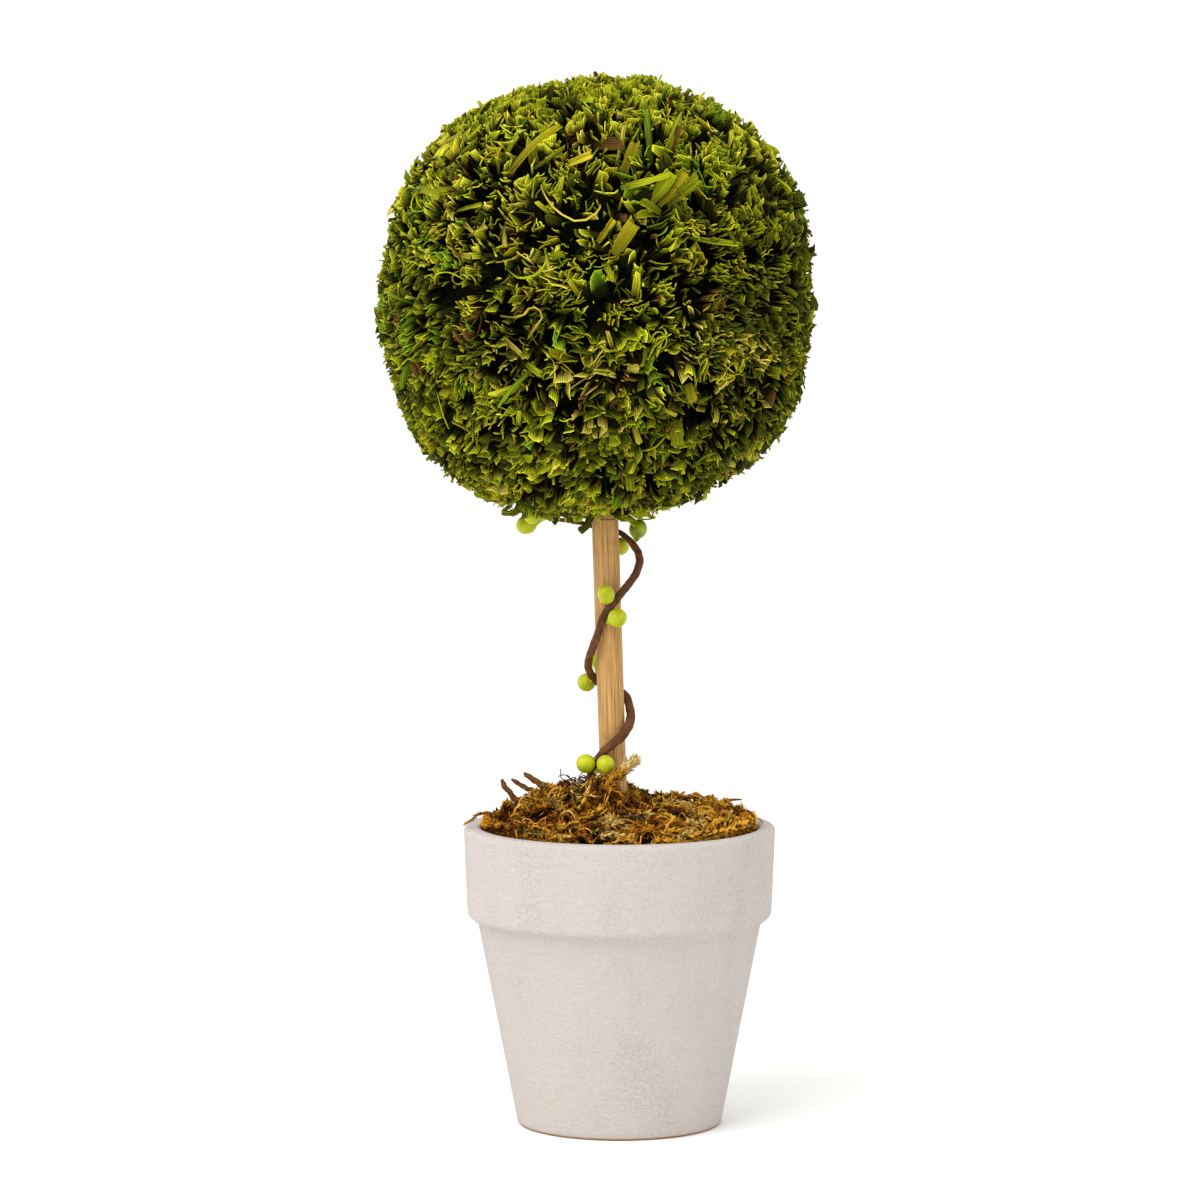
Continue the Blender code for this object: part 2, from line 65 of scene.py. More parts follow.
# Pot
POT_HEIGHT = 104 * MM
RIM_RADIUS = 54 * MM
COLLAR_HEIGHT = 32 * MM
COLLAR_DRAFT = 1.2 * MM
COLLAR_STEP = 3.6 * MM
BASE_RADIUS = 35.4 * MM
WALL = 6 * MM
INNER_BASE_RADIUS = 29.5 * MM
LIP_ROUND = 1.6 * MM
FOOT_ROUND = 1.1 * MM

# Moss
MOSS_LEVEL = 102.6 * MM
MOSS_PEAK = Vector((-13 * MM, 3 * MM))
MOSS_RISE = 13.5 * MM
MOSS_LUMP = 2.4 * MM
FOAM_TOP = 92 * MM

# Stick
STICK_RADIUS = 4.65 * MM
STICK_FOOT = 34 * MM
STICK_TOP = 262 * MM
STICK_LEAN = 0.0322
STICK_CENTRE_HEIGHT = 54 * MM

# Ball
BALL_HEIGHT = 286.4 * MM
BALL_SQUARENESS = 2.35
# Radii that turn a run over the ball into an angle: for seats, and for blades that lie flat.
SEAT_RADIUS = 75 * MM
LYING_RADIUS = 72 * MM

# Each strip's place in the texture, in mm across, is spread this far so that its tone is its own.
TONE_SPREAD = 17

# Vine and berries
VINE_RADIUS = 1.4 * MM
BERRY_RADIUS = 3.3 * MM
STALK_RADIUS = 0.55 * MM
# Height in mm, angle round the stick in degrees, and distance from its axis in mm.
VINE_STATIONS = (
    (103.0, 204, 9.2), (119.0, 206, 9.0), (125.5, 218, 8.4), (131.3, 254, 7.3), (136.5, 308, 6.9),
    (143.0, 362, 6.7), (149.0, 405, 6.7), (152.3, 475, 6.7), (158.5, 536, 7.4), (166.0, 581, 7.6),
    (177.5, 620, 6.9), (184.5, 665, 7.4), (191.5, 703, 10.4), (198.0, 728, 11.4),
    (204.6, 763, 8.1), (206.8, 830, 6.6), (208.8, 887, 8.6), (210.6, 901, 20.0),
)
# Station of the vine, middle in mm, size, and how long it is for its width.
BERRIES = (
    (17.0, (-32.1, 1.0, 208.3), 1.02, 1.10),
    (16.7, (-30.4, -5.2, 211.3), 0.74, 1.00),
    (13.5, (6.4, 1.0, 206.8), 0.97, 1.06),
    (13.7, (0.4, 9.8, 200.1), 0.94, 1.00),
    (10.4, (-4.7, -9.9, 185.1), 0.92, 1.20),
    (9.6, (-0.8, -10.0, 177.0), 1.00, 1.04),
    (7.3, (-11.4, 8.8, 152.8), 1.00, 1.00),
    (7.3, (-7.3, 7.8, 160.7), 0.95, 1.00),
    (2.7, (-11.7, -10.0, 126.7), 1.01, 1.00),
    (1.4, (-4.9, -11.0, 126.6), 0.96, 1.00),
)
# Berries in the ball's shade are painted deeper.
SHADED_BERRIES = (3,)
# Bulges and flats in the ball's outline: angle from the right in degrees, rise in mm, spread.
BULGES = (
    (8, -0.6, 6), (22, 1.8, 9), (83, 0.9, 9), (103, -0.9, 6), (125, -1.2, 18), (180, 1.8, 18),
    (222, 1.3, 10), (246, 1.5, 9), (258, 1.2, 8), (286, -0.8, 10), (303, -1.2, 8),
    (334, 1.2, 10), (272, -1.8, 5),
)
# Heaps and hollows in the moss, in mm: centre x, centre y, rise, reach.
MOSS_HEAPS = (
    (-6, -12, 6.0, 7), (8, 0, -2.0, 8), (-20, -5, 3.0, 8), (-37, -6, 3.0, 8), (43, -6, 2.6, 8),
    (40, 8, 3.0, 8), (28, 14, 2.5, 8), (20, 10, 1.5, 6),
)
# Strands that have a place, in mm: their radius, colour and stations.
PLACED_STRANDS = (
    (1.4, "gold", (-45.4, -12, 104.4), (-46.5, -6, 105.2), (-46.7, 1, 105.6), (-45.4, 9, 105.8)),
    (1.3, "ochre", (-44.4, -15, 105), (-46, -9, 106.2), (-46.4, -2, 106.6), (-45, 5, 106.4)),
    (1.4, "gold", (45.6, -11, 104.4), (46.5, -6, 105.3), (46.8, -1, 105.7), (46.2, 5, 105.8)),
    (1.3, "straw", (43.5, -13, 104.4), (45.4, -9, 106.3), (46.6, -3, 107), (46, 2, 106.4)),
    (1.5, "ochre", (44.6, -1, 105), (46.4, 4, 106.4), (45.4, 10, 106.8), (42.6, 15, 106)),
    (1.8, "gold", (22, -39.5, 105), (32, -32, 105.6), (39.5, -22, 106), (44, -10, 106.2),
     (45.2, 0, 106), (44.4, 9, 106.6), (41.5, 18, 107)),
    (1.7, "ochre", (38, -20, 106.5), (42, -14, 107.6), (44.4, -5, 107.4), (44.6, 4, 107),
     (42, 12, 106.5)),
    (1.5, "gold", (40, -24, 106.6), (44.6, -13, 107.2), (46.3, -3, 107.4), (45.8, 7, 107.4)),
    (1.5, "ochre", (-40, -24, 106.6), (-44.6, -13, 107.2), (-46.3, -3, 107.4), (-45.8, 7, 107.4)),
    (1.7, "brown", (-41.5, 16, 106.5), (-44.5, 6, 106), (-45, -6, 105.8), (-42, -19, 105.6),
     (-35, -29, 105)),
    (1.4, "ochre", (-38, -8, 105), (-42, -8, 107.8), (-47.5, -8, 109.2), (-51, -8, 107),
     (-53.4, -8, 105.4)),
    (1.0, "gold", (-42, -14, 107), (-44.5, -14, 106), (-46.6, -14, 105.7), (-48, -14, 106.2)),
    (1.7, "gold", (-38, -28, 109), (-36, -30, 111), (-31, -33, 108.8), (-26.4, -34, 107.8),
     (-23.8, -36, 106.5)),
    (1.8, "gold", (-22, -36, 107.5), (-17, -34, 108.8), (-11.7, -32, 111), (-6.4, -28, 113.6)),
    (1.5, "straw", (-36, -26, 105.8), (-30, -32, 105.6), (-23, -37.5, 105.4), (-17, -41, 105.6)),
    (1.9, "gold", (-30, -6, 113), (-28.5, -6, 115.2), (-25.7, -6, 117.6), (-23, -6, 118.2),
     (-20.2, -6, 116.5)),
    (1.7, "ochre", (-19, -7, 113), (-17.8, -7, 116.8), (-16, -8, 117.5)),
    (1.6, "straw", (-17.1, -12, 117.6), (-15.7, -13, 116.8), (-14, -14, 114.8)),
    (0.9, "gold", (-14.3, -24, 112.4), (-12.2, -20, 115.3), (-10.7, -16, 117.9)),
    (1.7, "gold", (-11, -11, 118.5), (-8.5, -11.5, 121.2), (-5.7, -12, 122), (-2.6, -12, 121.2),
     (-0.6, -12, 118.5)),
    (1.8, "ochre", (-9, -15, 115), (-5, -15.5, 118), (-1, -15, 117.5), (1, -14, 115)),
    (1.6, "brown", (-6, -18, 112), (-2, -18, 114.5), (2, -16, 114), (4, -14, 112)),
    (1.6, "gold", (-0.9, -6.5, 113.5), (1.6, -7, 115.2), (4.7, -5, 115.6), (7.1, -4, 113.6),
     (9, -3, 111)),
    (0.9, "ochre", (18, 8, 109.6), (17.3, 8, 112), (18.3, 8, 113), (20.1, 8, 112)),
    (1.0, "straw", (21.4, 8, 109.6), (21.4, 8, 112), (22.8, 8, 112.8), (23.9, 8, 111)),
    (1.3, "ochre", (27.8, 14, 109.8), (29.6, 14, 111.4), (32, 14, 111.8), (34.1, 14, 110.3)),
    (1.1, "brown", (35.5, 14, 108.8), (36.2, 14, 110.7), (38, 14, 110.9), (38.7, 14, 108.8)),
    (1.4, "straw", (15.3, -10, 109.8), (19.4, -10, 109.8), (23.9, -10, 110.2),
     (27.7, -10, 111.4)),
    (2.0, "straw", (29.6, -32, 104.8), (28, -30, 107.2), (25.3, -28, 108.3), (23.3, -27, 108.9)),
    (1.3, "straw", (37.5, -13, 104.5), (36.8, -13, 108), (38.5, -12, 110.3)),
    (0.9, "brown", (40.1, -12, 104.2), (40, -12, 109.1), (43.5, -12, 110.6), (46, -12, 108.7),
     (46.6, -12, 105.4)),
    (1.0, "gold", (45.2, -16, 107), (42.7, -16, 106.9), (42, -16, 104.8), (44, -16, 104.2)),
    (1.3, "gold", (13.6, -38, 104.9), (16.3, -34, 108.5), (17.8, -30, 110.5), (15.7, -28, 111.7)),
    (1.1, "ochre", (13.7, -30, 109), (16.3, -34, 106.2), (20.4, -36, 105.4), (23.4, -36, 106.3)),
    (1.8, "straw", (-8.1, -43, 105.2), (-2.7, -42.5, 106.3), (2.7, -42.5, 105.8),
     (7.1, -41, 106.5)),
    (0.8, "straw", (-8.4, -38, 106.9), (-5.7, -35, 108.9), (-3, -32, 110.6)),
    (1.5, "gold", (-40.9, -6, 109), (-40.2, -6, 111.8), (-38.5, -6, 113), (-37.5, -6, 111)),
)
# Single limbs out of the moss: name, foot x, foot y, direction in degrees, run, rise at the
# middle, rise at the tip, radius, all in mm.
MOSS_LIMBS = (
    ("bark_curl_1", -21, -4, 182, 12.0, 6.0, 9.6, 1.3),
    ("bark_curl_2", -26, 5, 180, 11.6, 3.9, 7.2, 1.1),
    ("bark_curl_3", -30, -1, 186, 10.8, 2.0, 9.0, 1.3),
    ("moss_sprig", -9, -15, 6, 15.0, 8.0, 16.5, 1.9),
    ("grass_blade", 1, 9, 352, 13.5, 3.2, -2.0, 0.6),
    ("rim_twig", 32, 18, 5, 11.0, 4.4, 4.6, 0.7),
)
SPRIG = ((-8.5, -15, 111), (-4, -14, 119), (-0.6, -13.3, 122.9), (2.9, -12.8, 126.2),
         (6.3, -12.6, 129))
GRASS = ((2, 9, 113.2), (3, 9, 114.8), (5.4, 9, 115.7), (7.2, 9, 115.2), (8.6, 9, 114.4),
         (11.4, 9, 112.7), (14.1, 9, 110.9))
# Blades and curls that lie over the ball's front: width in mm, colour, roll in degrees, curl, how
# much they widen to their tip, and stations. A station is how far right and up of the ball's
# centre it is, as shares, and how deep in mm.
LAID = (
    (3.0, "leaf", 30, 1.2, 0, (-0.86, 0.48, 4), (-0.76, 0.485, 0.6), (-0.69, 0.45, 0.3)),
    (2.6, "fresh", -15, 0.9, 0.2, (-0.63, 0.41, 3), (-0.49, 0.42, 0.2)),
    (2.2, "straw", 30, -1.2, 0.2, (-0.58, 0.30, 3.5), (-0.47, 0.33, 0.4)),
    (2.0, "straw", -30, 1.2, 0.2, (-0.62, 0.37, 3.5), (-0.53, 0.30, 0.4)),
    (1.8, "straw", 30, 1.2, 0.2, (-0.64, 0.22, 3.5), (-0.55, 0.20, 0.5)),
    (2.0, "straw", 40, 1.2, 0.2, (-0.42, 0.34, 3.5), (-0.40, 0.24, 0.5)),
    (3.0, "olive", 25, 1.2, 0.1, (-0.40, 0.56, 3.5), (-0.27, 0.66, 0.5), (-0.15, 0.74, 0.1)),
    (3.2, "leaf", -15, 1.0, 0.1, (-0.27, 0.58, 3), (-0.13, 0.65, 0.3)),
    (4.4, "gold", -20, 0.7, 0.1, (-0.12, 0.585, 1.2), (-0.02, 0.61, -0.3)),
    (5.0, "fresh", -35, 0.9, 0.4, (0.24, 0.44, 3), (0.31, 0.55, 0)),
    (5.0, "olive", -5, 1.0, 0.4, (0.27, 0.43, 3), (0.37, 0.55, 0)),
    (5.0, "leaf", 35, 0.9, 0.4, (0.31, 0.43, 3), (0.43, 0.53, 0)),
    (3.2, "green", -15, 1.2, 0.2, (0.23, 0.60, 4), (0.20, 0.80, 0)),
    (4.0, "leaf", 25, 1.8, 0, (0.27, 0.58, 4), (0.31, 0.68, 0.4), (0.35, 0.78, 0)),
    (2.0, "umber", 25, 0.4, 0, (0.29, 0.60, 3), (0.34, 0.73, -0.3)),
    (4.0, "olive", 10, 1.0, 0.3, (0.10, 0.54, 3.5), (0.16, 0.67, 0.2)),
    (2.6, "straw", -30, 1.0, 0.1, (0.08, 0.59, 3.5), (0.11, 0.73, 0.4)),
    (2.4, "fresh", 5, 1.0, 0, (0.10, 0.50, 3), (0.20, 0.51, 0), (0.31, 0.54, 0)),
    (3.6, "olive", -20, 1.2, 0.3, (0.00, 0.27, 2), (0.07, 0.36, -0.2)),
    (6.0, "olive", 20, 1.3, 0.5, (0.07, 0.22, 2.5), (0.16, 0.355, -0.3)),
    (2.4, "fresh", 20, 1.0, 0.1, (0.44, 0.29, 3), (0.61, 0.25, 0.2)),
    (4.0, "fresh", 10, 0.9, 0.3, (0.28, 0.40, 3), (0.18, 0.44, 0)),
    (2.4, "leaf", 0, 0.9, 0.1, (-0.28, 0.19, 3), (-0.14, 0.22, 0.3)),
    (2.8, "straw", 25, 0.9, 0.2, (-0.43, -0.16, 3), (-0.33, -0.22, 0.2)),
    (2.0, "green", 30, 1.2, 0, (-0.30, -0.30, 3), (-0.37, -0.37, 0.3), (-0.43, -0.45, 0.4)),
    (3.0, "fresh", -15, 1.0, 0.2, (-0.32, -0.27, 3), (-0.24, -0.31, 0.3)),
    (3.4, "fresh", 15, 0.9, 0.2, (-0.33, -0.67, 3), (-0.27, -0.65, 0.3)),
    (3.2, "straw", -10, 0.4, 0.1, (0.13, -0.28, 2), (0.18, -0.28, 0.2)),
    (2.6, "gold", 15, 0.5, 0, (0.16, -0.54, 3), (0.18, -0.60, 0.2)),
    (2.8, "gold", 20, 0.8, 0.1, (0.28, -0.46, 2), (0.34, -0.48, 0.2)),
    (4.8, "leaf", 5, 0.3, 0, (0.34, -0.52, 3), (0.34, -0.61, 0.1)),
    (4.2, "leaf", -10, 0.5, 0, (0.14, -0.70, 3), (0.14, -0.80, 0.2)),
    (4.0, "olive", 0, 0.4, 0, (0.40, -0.36, 3), (0.41, -0.43, 0.1)),
    (3.6, "leaf", -20, 0.4, 0.1, (0.22, -0.20, 3), (0.19, -0.27, 0.1)),
    (1.1, "fresh", 60, 0.4, 0, (-0.40, 0.15, 2), (-0.34, 0.11, -0.6), (-0.26, 0.13, -0.8),
     (-0.22, 0.19, -0.4), (-0.24, 0.25, 2)),
    (0.8, "fresh", 60, 0.3, 0, (-0.73, 0.08, 2), (-0.70, 0.12, -0.4), (-0.64, 0.13, -0.4),
     (-0.59, 0.10, 2)),
    (0.7, "straw", 60, 0.3, 0, (-0.24, 0.50, 1), (-0.22, 0.45, 0.2), (-0.17, 0.39, 0),
     (-0.08, 0.35, 0), (0.00, 0.39, 0.3), (0.01, 0.43, 2)),
    (2.2, "straw", 70, 0.6, 0, (-0.44, -0.06, 3), (-0.34, -0.06, 0.4), (-0.30, -0.02, -0.6),
     (-0.26, -0.02, -1), (-0.24, -0.06, -0.8), (-0.28, -0.11, 0), (-0.31, -0.16, 2)),
    (0.6, "fresh", 40, 0.2, 0, (-0.70, -0.39, 1), (-0.66, -0.47, 0), (-0.63, -0.54, 0.4)),
    (1.2, "fresh", 50, 0.4, 0, (0.18, -0.64, 1.5), (0.24, -0.61, 0), (0.29, -0.57, 1)),
    (0.7, "fresh", 60, 0.3, 0, (0.25, -0.17, 1.4), (0.24, -0.14, 0.4), (0.27, -0.12, 0),
     (0.30, -0.15, 0), (0.29, -0.19, 0.4), (0.26, -0.20, 1.4)),
)
# Blades that hang below the ball: width in mm, colour, roll in degrees, curl, stations in mm.
HUNG = (
    (2.6, "leaf", 0, 1.0, (-1, -7, 219), (0.5, -7.4, 214.5), (3, -7.2, 211), (6, -5.6, 207.9)),
    (2.2, "fresh", 50, 1.2, (0, -6, 218), (4.2, -7, 212.6), (8.3, -7, 210.6), (12.6, -6, 211.4)),
    (1.8, "lime", -40, 1.0, (4, -5, 218), (8, -6, 213), (12.4, -6.4, 211)),
    (0.45, "umber", 60, 0.2, (-9.4, -6.4, 214), (-7.9, -5.4, 210.9), (-4, -5.6, 210.4),
     (-1.3, -5.6, 211), (1.6, -5.8, 213.5)),
    (2.2, "fresh", 10, 0.6, (-9.6, -7.4, 220), (-8.8, -7.0, 214.5), (-7.5, -6.4, 210)),
    (3.0, "deep", 30, 0.8, (-9, -5, 216), (-11.2, -5.4, 208.6), (-14.3, -5.6, 206.4)),
    (2.2, "deep", 20, 0.9, (-20, -8, 216), (-21.5, -8, 211), (-23, -8, 209)),
    (2.4, "leaf", 20, 0.6, (-31, -12, 218), (-36, -13, 213.5), (-41, -12, 213.6)),
)


# ---------------------------------------------------------------- colour and nodes


def linear(code):
    """The linear colour of an sRGB hex code."""
    parts = [int(code[i:i + 2], 16) / 255 for i in (1, 3, 5)]
    return tuple(p / 12.92 if p <= 0.04045 else ((p + 0.055) / 1.055) ** 2.4 for p in parts)


def shade(color, factor):
    """The colour, darker or lighter by a factor."""
    return tuple(min(1, part * factor) for part in color)


def add_node(tree, kind, inputs=None, **settings):
    """A shader node of this kind with its settings. An input takes a value, a colour of three
    parts, a socket to link, or a node whose first output is linked."""
    made = tree.nodes.new(f"ShaderNode{kind}")
    for key, value in settings.items():
        setattr(made, key, value)
    for key, value in (inputs or {}).items():
        socket = made.inputs[key]
        if isinstance(value, bpy.types.Node):
            value = value.outputs[0]
        if isinstance(value, bpy.types.NodeSocket):
            tree.links.new(value, socket)
        else:
            socket.default_value = (*value, 1) if socket.type == "RGBA" else value
    return made


def coat(tree, value, low, high, under, over, most=1.0):
    """The colour under, which the colour over covers more and more as the value goes from low to
    high. most is the share of it that is covered at high."""
    share = add_node(tree, "MapRange", {0: value, 1: low, 2: high, 4: most})
    mix = add_node(tree, "Mix", {0: share, 6: under, 7: over}, data_type="RGBA")
    return mix.outputs[2]


def new_material(name, color, roughness, ior, specular):
    """A Principled material with what is the same all over it, and its node tree."""
    made = bpy.data.materials.new(name)
    made.use_nodes = True
    made.diffuse_color = (*color, 1)
    shader = made.node_tree.nodes["Principled BSDF"]
    shader.inputs["Base Color"].default_value = (*color, 1)
    shader.inputs["Roughness"].default_value = roughness
    shader.inputs["IOR"].default_value = ior
    shader.inputs["Specular IOR Level"].default_value = specular
    return made, made.node_tree


def finished(made, tone, height=None, strength=0.0, distance=0.0):
    """The material with its drawn colour, and with its relief if it has one."""
    tree = made.node_tree
    shader = tree.nodes["Principled BSDF"]
    tree.links.new(tone, shader.inputs["Base Color"])
    if height:
        bump = add_node(tree, "Bump", {
            "Height": height, "Strength": strength, "Distance": distance})
        tree.links.new(bump.outputs[0], shader.inputs["Normal"])
    return made


# ---------------------------------------------------------------- finishes


def whitewashed_clay(color, clay, stain):
    """Earthenware with a brushed lime wash, fired matt. The wash gives the eye a chalky pale skin
    with sandy grit, a few pits, patches of fine crackle and faint stains, and bare clay shows at
    the foot."""
    made, tree = new_material("whitewashed_clay", color, 0.93, 1.45, 0.25)
    place = add_node(tree, "TexCoord").outputs["Object"]
    # Tone drifts over about 30 mm, brush marks are about 3 mm and grit is drawn at 0.8 mm.
    drift = add_node(tree, "TexNoise", {"Vector": place, "Scale": 33, "Detail": 3})
    level = add_node(tree, "Mapping", {"Vector": place, "Scale": (1, 1, 3.2)})
    brush = add_node(tree, "TexNoise", {
        "Vector": level, "Scale": 210, "Detail": 4, "Roughness": 0.6})
    grit = add_node(tree, "TexNoise", {"Vector": place, "Scale": 1250, "Detail": 2})
    tone = coat(tree, drift, 0.35, 0.65, shade(color, 0.975), shade(color, 1.015))
    tone = coat(tree, brush, 0.3, 0.75, tone, shade(color, 1.03))
    sand = coat(tree, grit, 0.36, 0.64, (0.94, 0.935, 0.93), (1.04, 1.04, 1.04))
    tone = add_node(tree, "Mix", {0: 1.0, 6: tone, 7: sand},
                    data_type="RGBA", blend_type="MULTIPLY").outputs[2]
    # Stains gather low on the pot, in spots of about 6 mm.
    height = add_node(tree, "SeparateXYZ", {0: place}).outputs[2]
    patch = add_node(tree, "TexNoise", {"Vector": place, "Scale": 120, "Detail": 3})
    patchy = add_node(tree, "MapRange", {0: patch, 1: 0.60, 2: 0.76})
    low = add_node(tree, "MapRange", {0: height, 1: 0.055, 2: 0.004})
    amount = add_node(tree, "Math", {0: patchy, 1: low}, operation="MULTIPLY")
    tone = coat(tree, amount, 0.0, 1.0, tone, stain, 0.4)
    # Hairline crackle in cells of about 2 mm, in upright patches, and pits 6 mm apart.
    warp = add_node(tree, "TexNoise", {"Vector": place, "Scale": 400, "Detail": 1})
    bent = add_node(tree, "Mix", {0: 0.0008, 6: place, 7: warp.outputs[1]},
                    data_type="RGBA", blend_type="ADD").outputs[2]
    cells = add_node(tree, "TexVoronoi", {"Vector": bent, "Scale": 480},
                     feature="DISTANCE_TO_EDGE")
    line = add_node(tree, "MapRange", {0: cells, 1: 0.09, 2: 0.0})
    tall = add_node(tree, "Mapping", {"Vector": place, "Scale": (1, 1, 0.35)})
    torn = add_node(tree, "TexNoise", {"Vector": tall, "Scale": 75, "Detail": 2})
    torn = add_node(tree, "MapRange", {0: torn, 1: 0.46, 2: 0.66})
    crack = add_node(tree, "Math", {0: line, 1: torn}, operation="MULTIPLY")
    dots = add_node(tree, "TexVoronoi", {"Vector": place, "Scale": 160})
    pit = add_node(tree, "MapRange", {0: dots, 1: 0.055, 2: 0.03})
    marks = add_node(tree, "Math", {0: crack, 1: pit}, operation="MAXIMUM")
    tone = coat(tree, marks, 0.0, 1.0, tone, shade(stain, 0.5), 0.10)
    # The lowest millimetre is worn back to the clay, with a wandering edge.
    edge = add_node(tree, "Math", {0: grit, 1: 0.0009}, operation="MULTIPLY")
    above = add_node(tree, "Math", {0: height, 1: edge}, operation="SUBTRACT")
    tone = coat(tree, above, 0.0006, 0.0, tone, clay)
    # The grit stands 0.5 mm proud at most, and the marks lie 0.3 mm deep.
    rough = add_node(tree, "Math", {0: grit, 1: brush}, operation="ADD")
    bump = add_node(tree, "Bump", {"Height": rough, "Strength": 0.7, "Distance": 0.0005})
    dents = add_node(tree, "Bump", {
        "Height": marks, "Strength": 0.5, "Distance": 0.0003, "Normal": bump}, invert=True)
    tree.links.new(dents.outputs[0], tree.nodes["Principled BSDF"].inputs["Normal"])
    return finished(made, tone)


def bare_bamboo(color, grain):
    """A split bamboo dowel, scraped and left bare. Straight fibres give the eye fine brown lines
    along it, a warm tan and a slight satin."""
    made, tree = new_material("bare_bamboo", color, 0.55, 1.5, 0.3)
    place = add_node(tree, "TexCoord").outputs["Object"]
    # Turned upright along the leaning stick. Fibres are 0.5 mm wide and tens of mm long.
    upright = add_node(tree, "Mapping", {
        "Vector": place, "Rotation": (0, math.atan(STICK_LEAN), 0)})
    fine = add_node(tree, "Mapping", {"Vector": upright, "Scale": (1, 1, 0.018)})
    fibres = add_node(tree, "TexNoise", {
        "Vector": fine, "Scale": 2500, "Detail": 2, "Roughness": 0.7})
    bands = add_node(tree, "TexNoise", {"Vector": fine, "Scale": 700, "Detail": 2})
    blotch = add_node(tree, "TexNoise", {"Vector": upright, "Scale": 90, "Detail": 3})
    tone = coat(tree, bands, 0.38, 0.66, shade(color, 1.04), shade(color, 0.88))
    tone = coat(tree, fibres, 0.53, 0.68, tone, grain)
    tone = coat(tree, fibres, 0.47, 0.34, tone, shade(color, 1.35))
    tone = coat(tree, blotch, 0.55, 0.85, tone, shade(grain, 1.1))
    # Rare dark pores, about 16 mm apart.
    apart = add_node(tree, "Mapping", {"Vector": upright, "Scale": (1, 1, 0.6)})
    pores = add_node(tree, "TexVoronoi", {"Vector": apart, "Scale": 62})
    tone = coat(tree, pores, 0.045, 0.02, tone, shade(grain, 0.35))
    return finished(made, tone, fibres, 0.35, 0.0002)


def wrapped_paper(name, color):
    """Crepe paper twisted round wire. It gives the eye a dull brown with fine slanting
    wrinkles, painted shade in their creases, and paler ridges that are partly rubbed and partly
    painted highlight."""
    made, tree = new_material(name, color, 0.8, 1.45, 0.3)
    flat = add_node(tree, "UVMap", uv_map="mm")
    # The wrinkles run along the wire on a slant, 0.6 mm apart.
    slant = add_node(tree, "Mapping", {
        "Vector": flat, "Rotation": (0, 0, math.radians(-20)), "Scale": (1, 0.22, 1)})
    wrinkle = add_node(tree, "TexNoise", {
        "Vector": slant, "Scale": 1.5, "Detail": 3, "Roughness": 0.65})
    place = add_node(tree, "TexCoord").outputs["Object"]
    patch = add_node(tree, "TexNoise", {"Vector": place, "Scale": 160, "Detail": 2})
    # Painted shade in the creases; the ridges paler, partly rubbed and partly painted highlight.
    tone = coat(tree, wrinkle, 0.35, 0.68, shade(color, 0.4), shade(color, 1.45))
    tone = coat(tree, patch, 0.45, 0.75, tone, shade(color, 0.45))
    return finished(made, tone, wrinkle, 0.7, 0.0004)


def berry_paint(name, color, tip):
    """Foam beads dipped in vinyl paint. The dipped coat gives the eye a soft satin yellow-green,
    greener in clouds, with a few small bruises."""
    made, tree = new_material(name, color, 0.34, 1.47, 0.3)
    place = add_node(tree, "TexCoord").outputs["Object"]
    # Clouds of 4 mm, bruises of 0.5 mm and pimples of 1 mm.
    cloud = add_node(tree, "TexNoise", {"Vector": place, "Scale": 230, "Detail": 3})
    tone = coat(tree, cloud, 0.40, 0.68, color, tip)
    bruises = add_node(tree, "TexVoronoi", {"Vector": place, "Scale": 330})
    tone = coat(tree, bruises, 0.16, 0.08, tone, shade(tip, 0.45), 0.5)
    pimples = add_node(tree, "TexNoise", {"Vector": place, "Scale": 900, "Detail": 2})
    return finished(made, tone, pimples, 0.25, 0.0003)


def dried_leaf(name, color, rib=0.8, shadow=0.04):
    """Grass-like leaf, dried, dyed and cut in strips. The parallel veins give the eye fine ribs,
    each strip takes the dye its own way, and painted shade darkens it to near black towards its
    root, deep in the ball."""
    made, tree = new_material(name, color, 0.60, 1.45, 0.05)
    flat = add_node(tree, "UVMap", uv_map="mm")
    across = add_node(tree, "Mapping", {"Vector": flat, "Scale": (1, 0.03, 1)})
    # Veins are 0.4 mm apart, and drawn 0.8 mm apart to show: a wave's bands are 0.314 / scale.
    veins = add_node(tree, "TexWave", {
        "Vector": across, "Scale": 0.39, "Distortion": 1.6, "Detail": 2}).outputs[1]
    fibres = add_node(tree, "TexNoise", {
        "Vector": across, "Scale": 2.2, "Detail": 2, "Roughness": 0.7})
    own = add_node(tree, "TexNoise", {"Vector": across, "Scale": 0.3, "Detail": 1})
    tone = coat(tree, own, 0.36, 0.64, shade(color, 0.62), shade(color, 1.2))
    tone = coat(tree, veins, 0.55, 0.05, tone, shade(color, 0.2), rib)
    tone = coat(tree, fibres, 0.52, 0.7, tone, shade(color, 0.4))
    # Millimetres below the tip: painted shade takes the strip to near black by about 5 mm in, and
    # the cut tip is paler, partly frayed and partly painted highlight.
    below = add_node(tree, "SeparateXYZ", {0: flat}).outputs[1]
    tone = coat(tree, below, -1.2, 0.0, tone, shade(color, 1.35), 0.4)
    tone = coat(tree, below, -4.8, -0.5, shade(color, shadow), tone)
    return finished(made, tone, veins, 0.7, 0.0002)


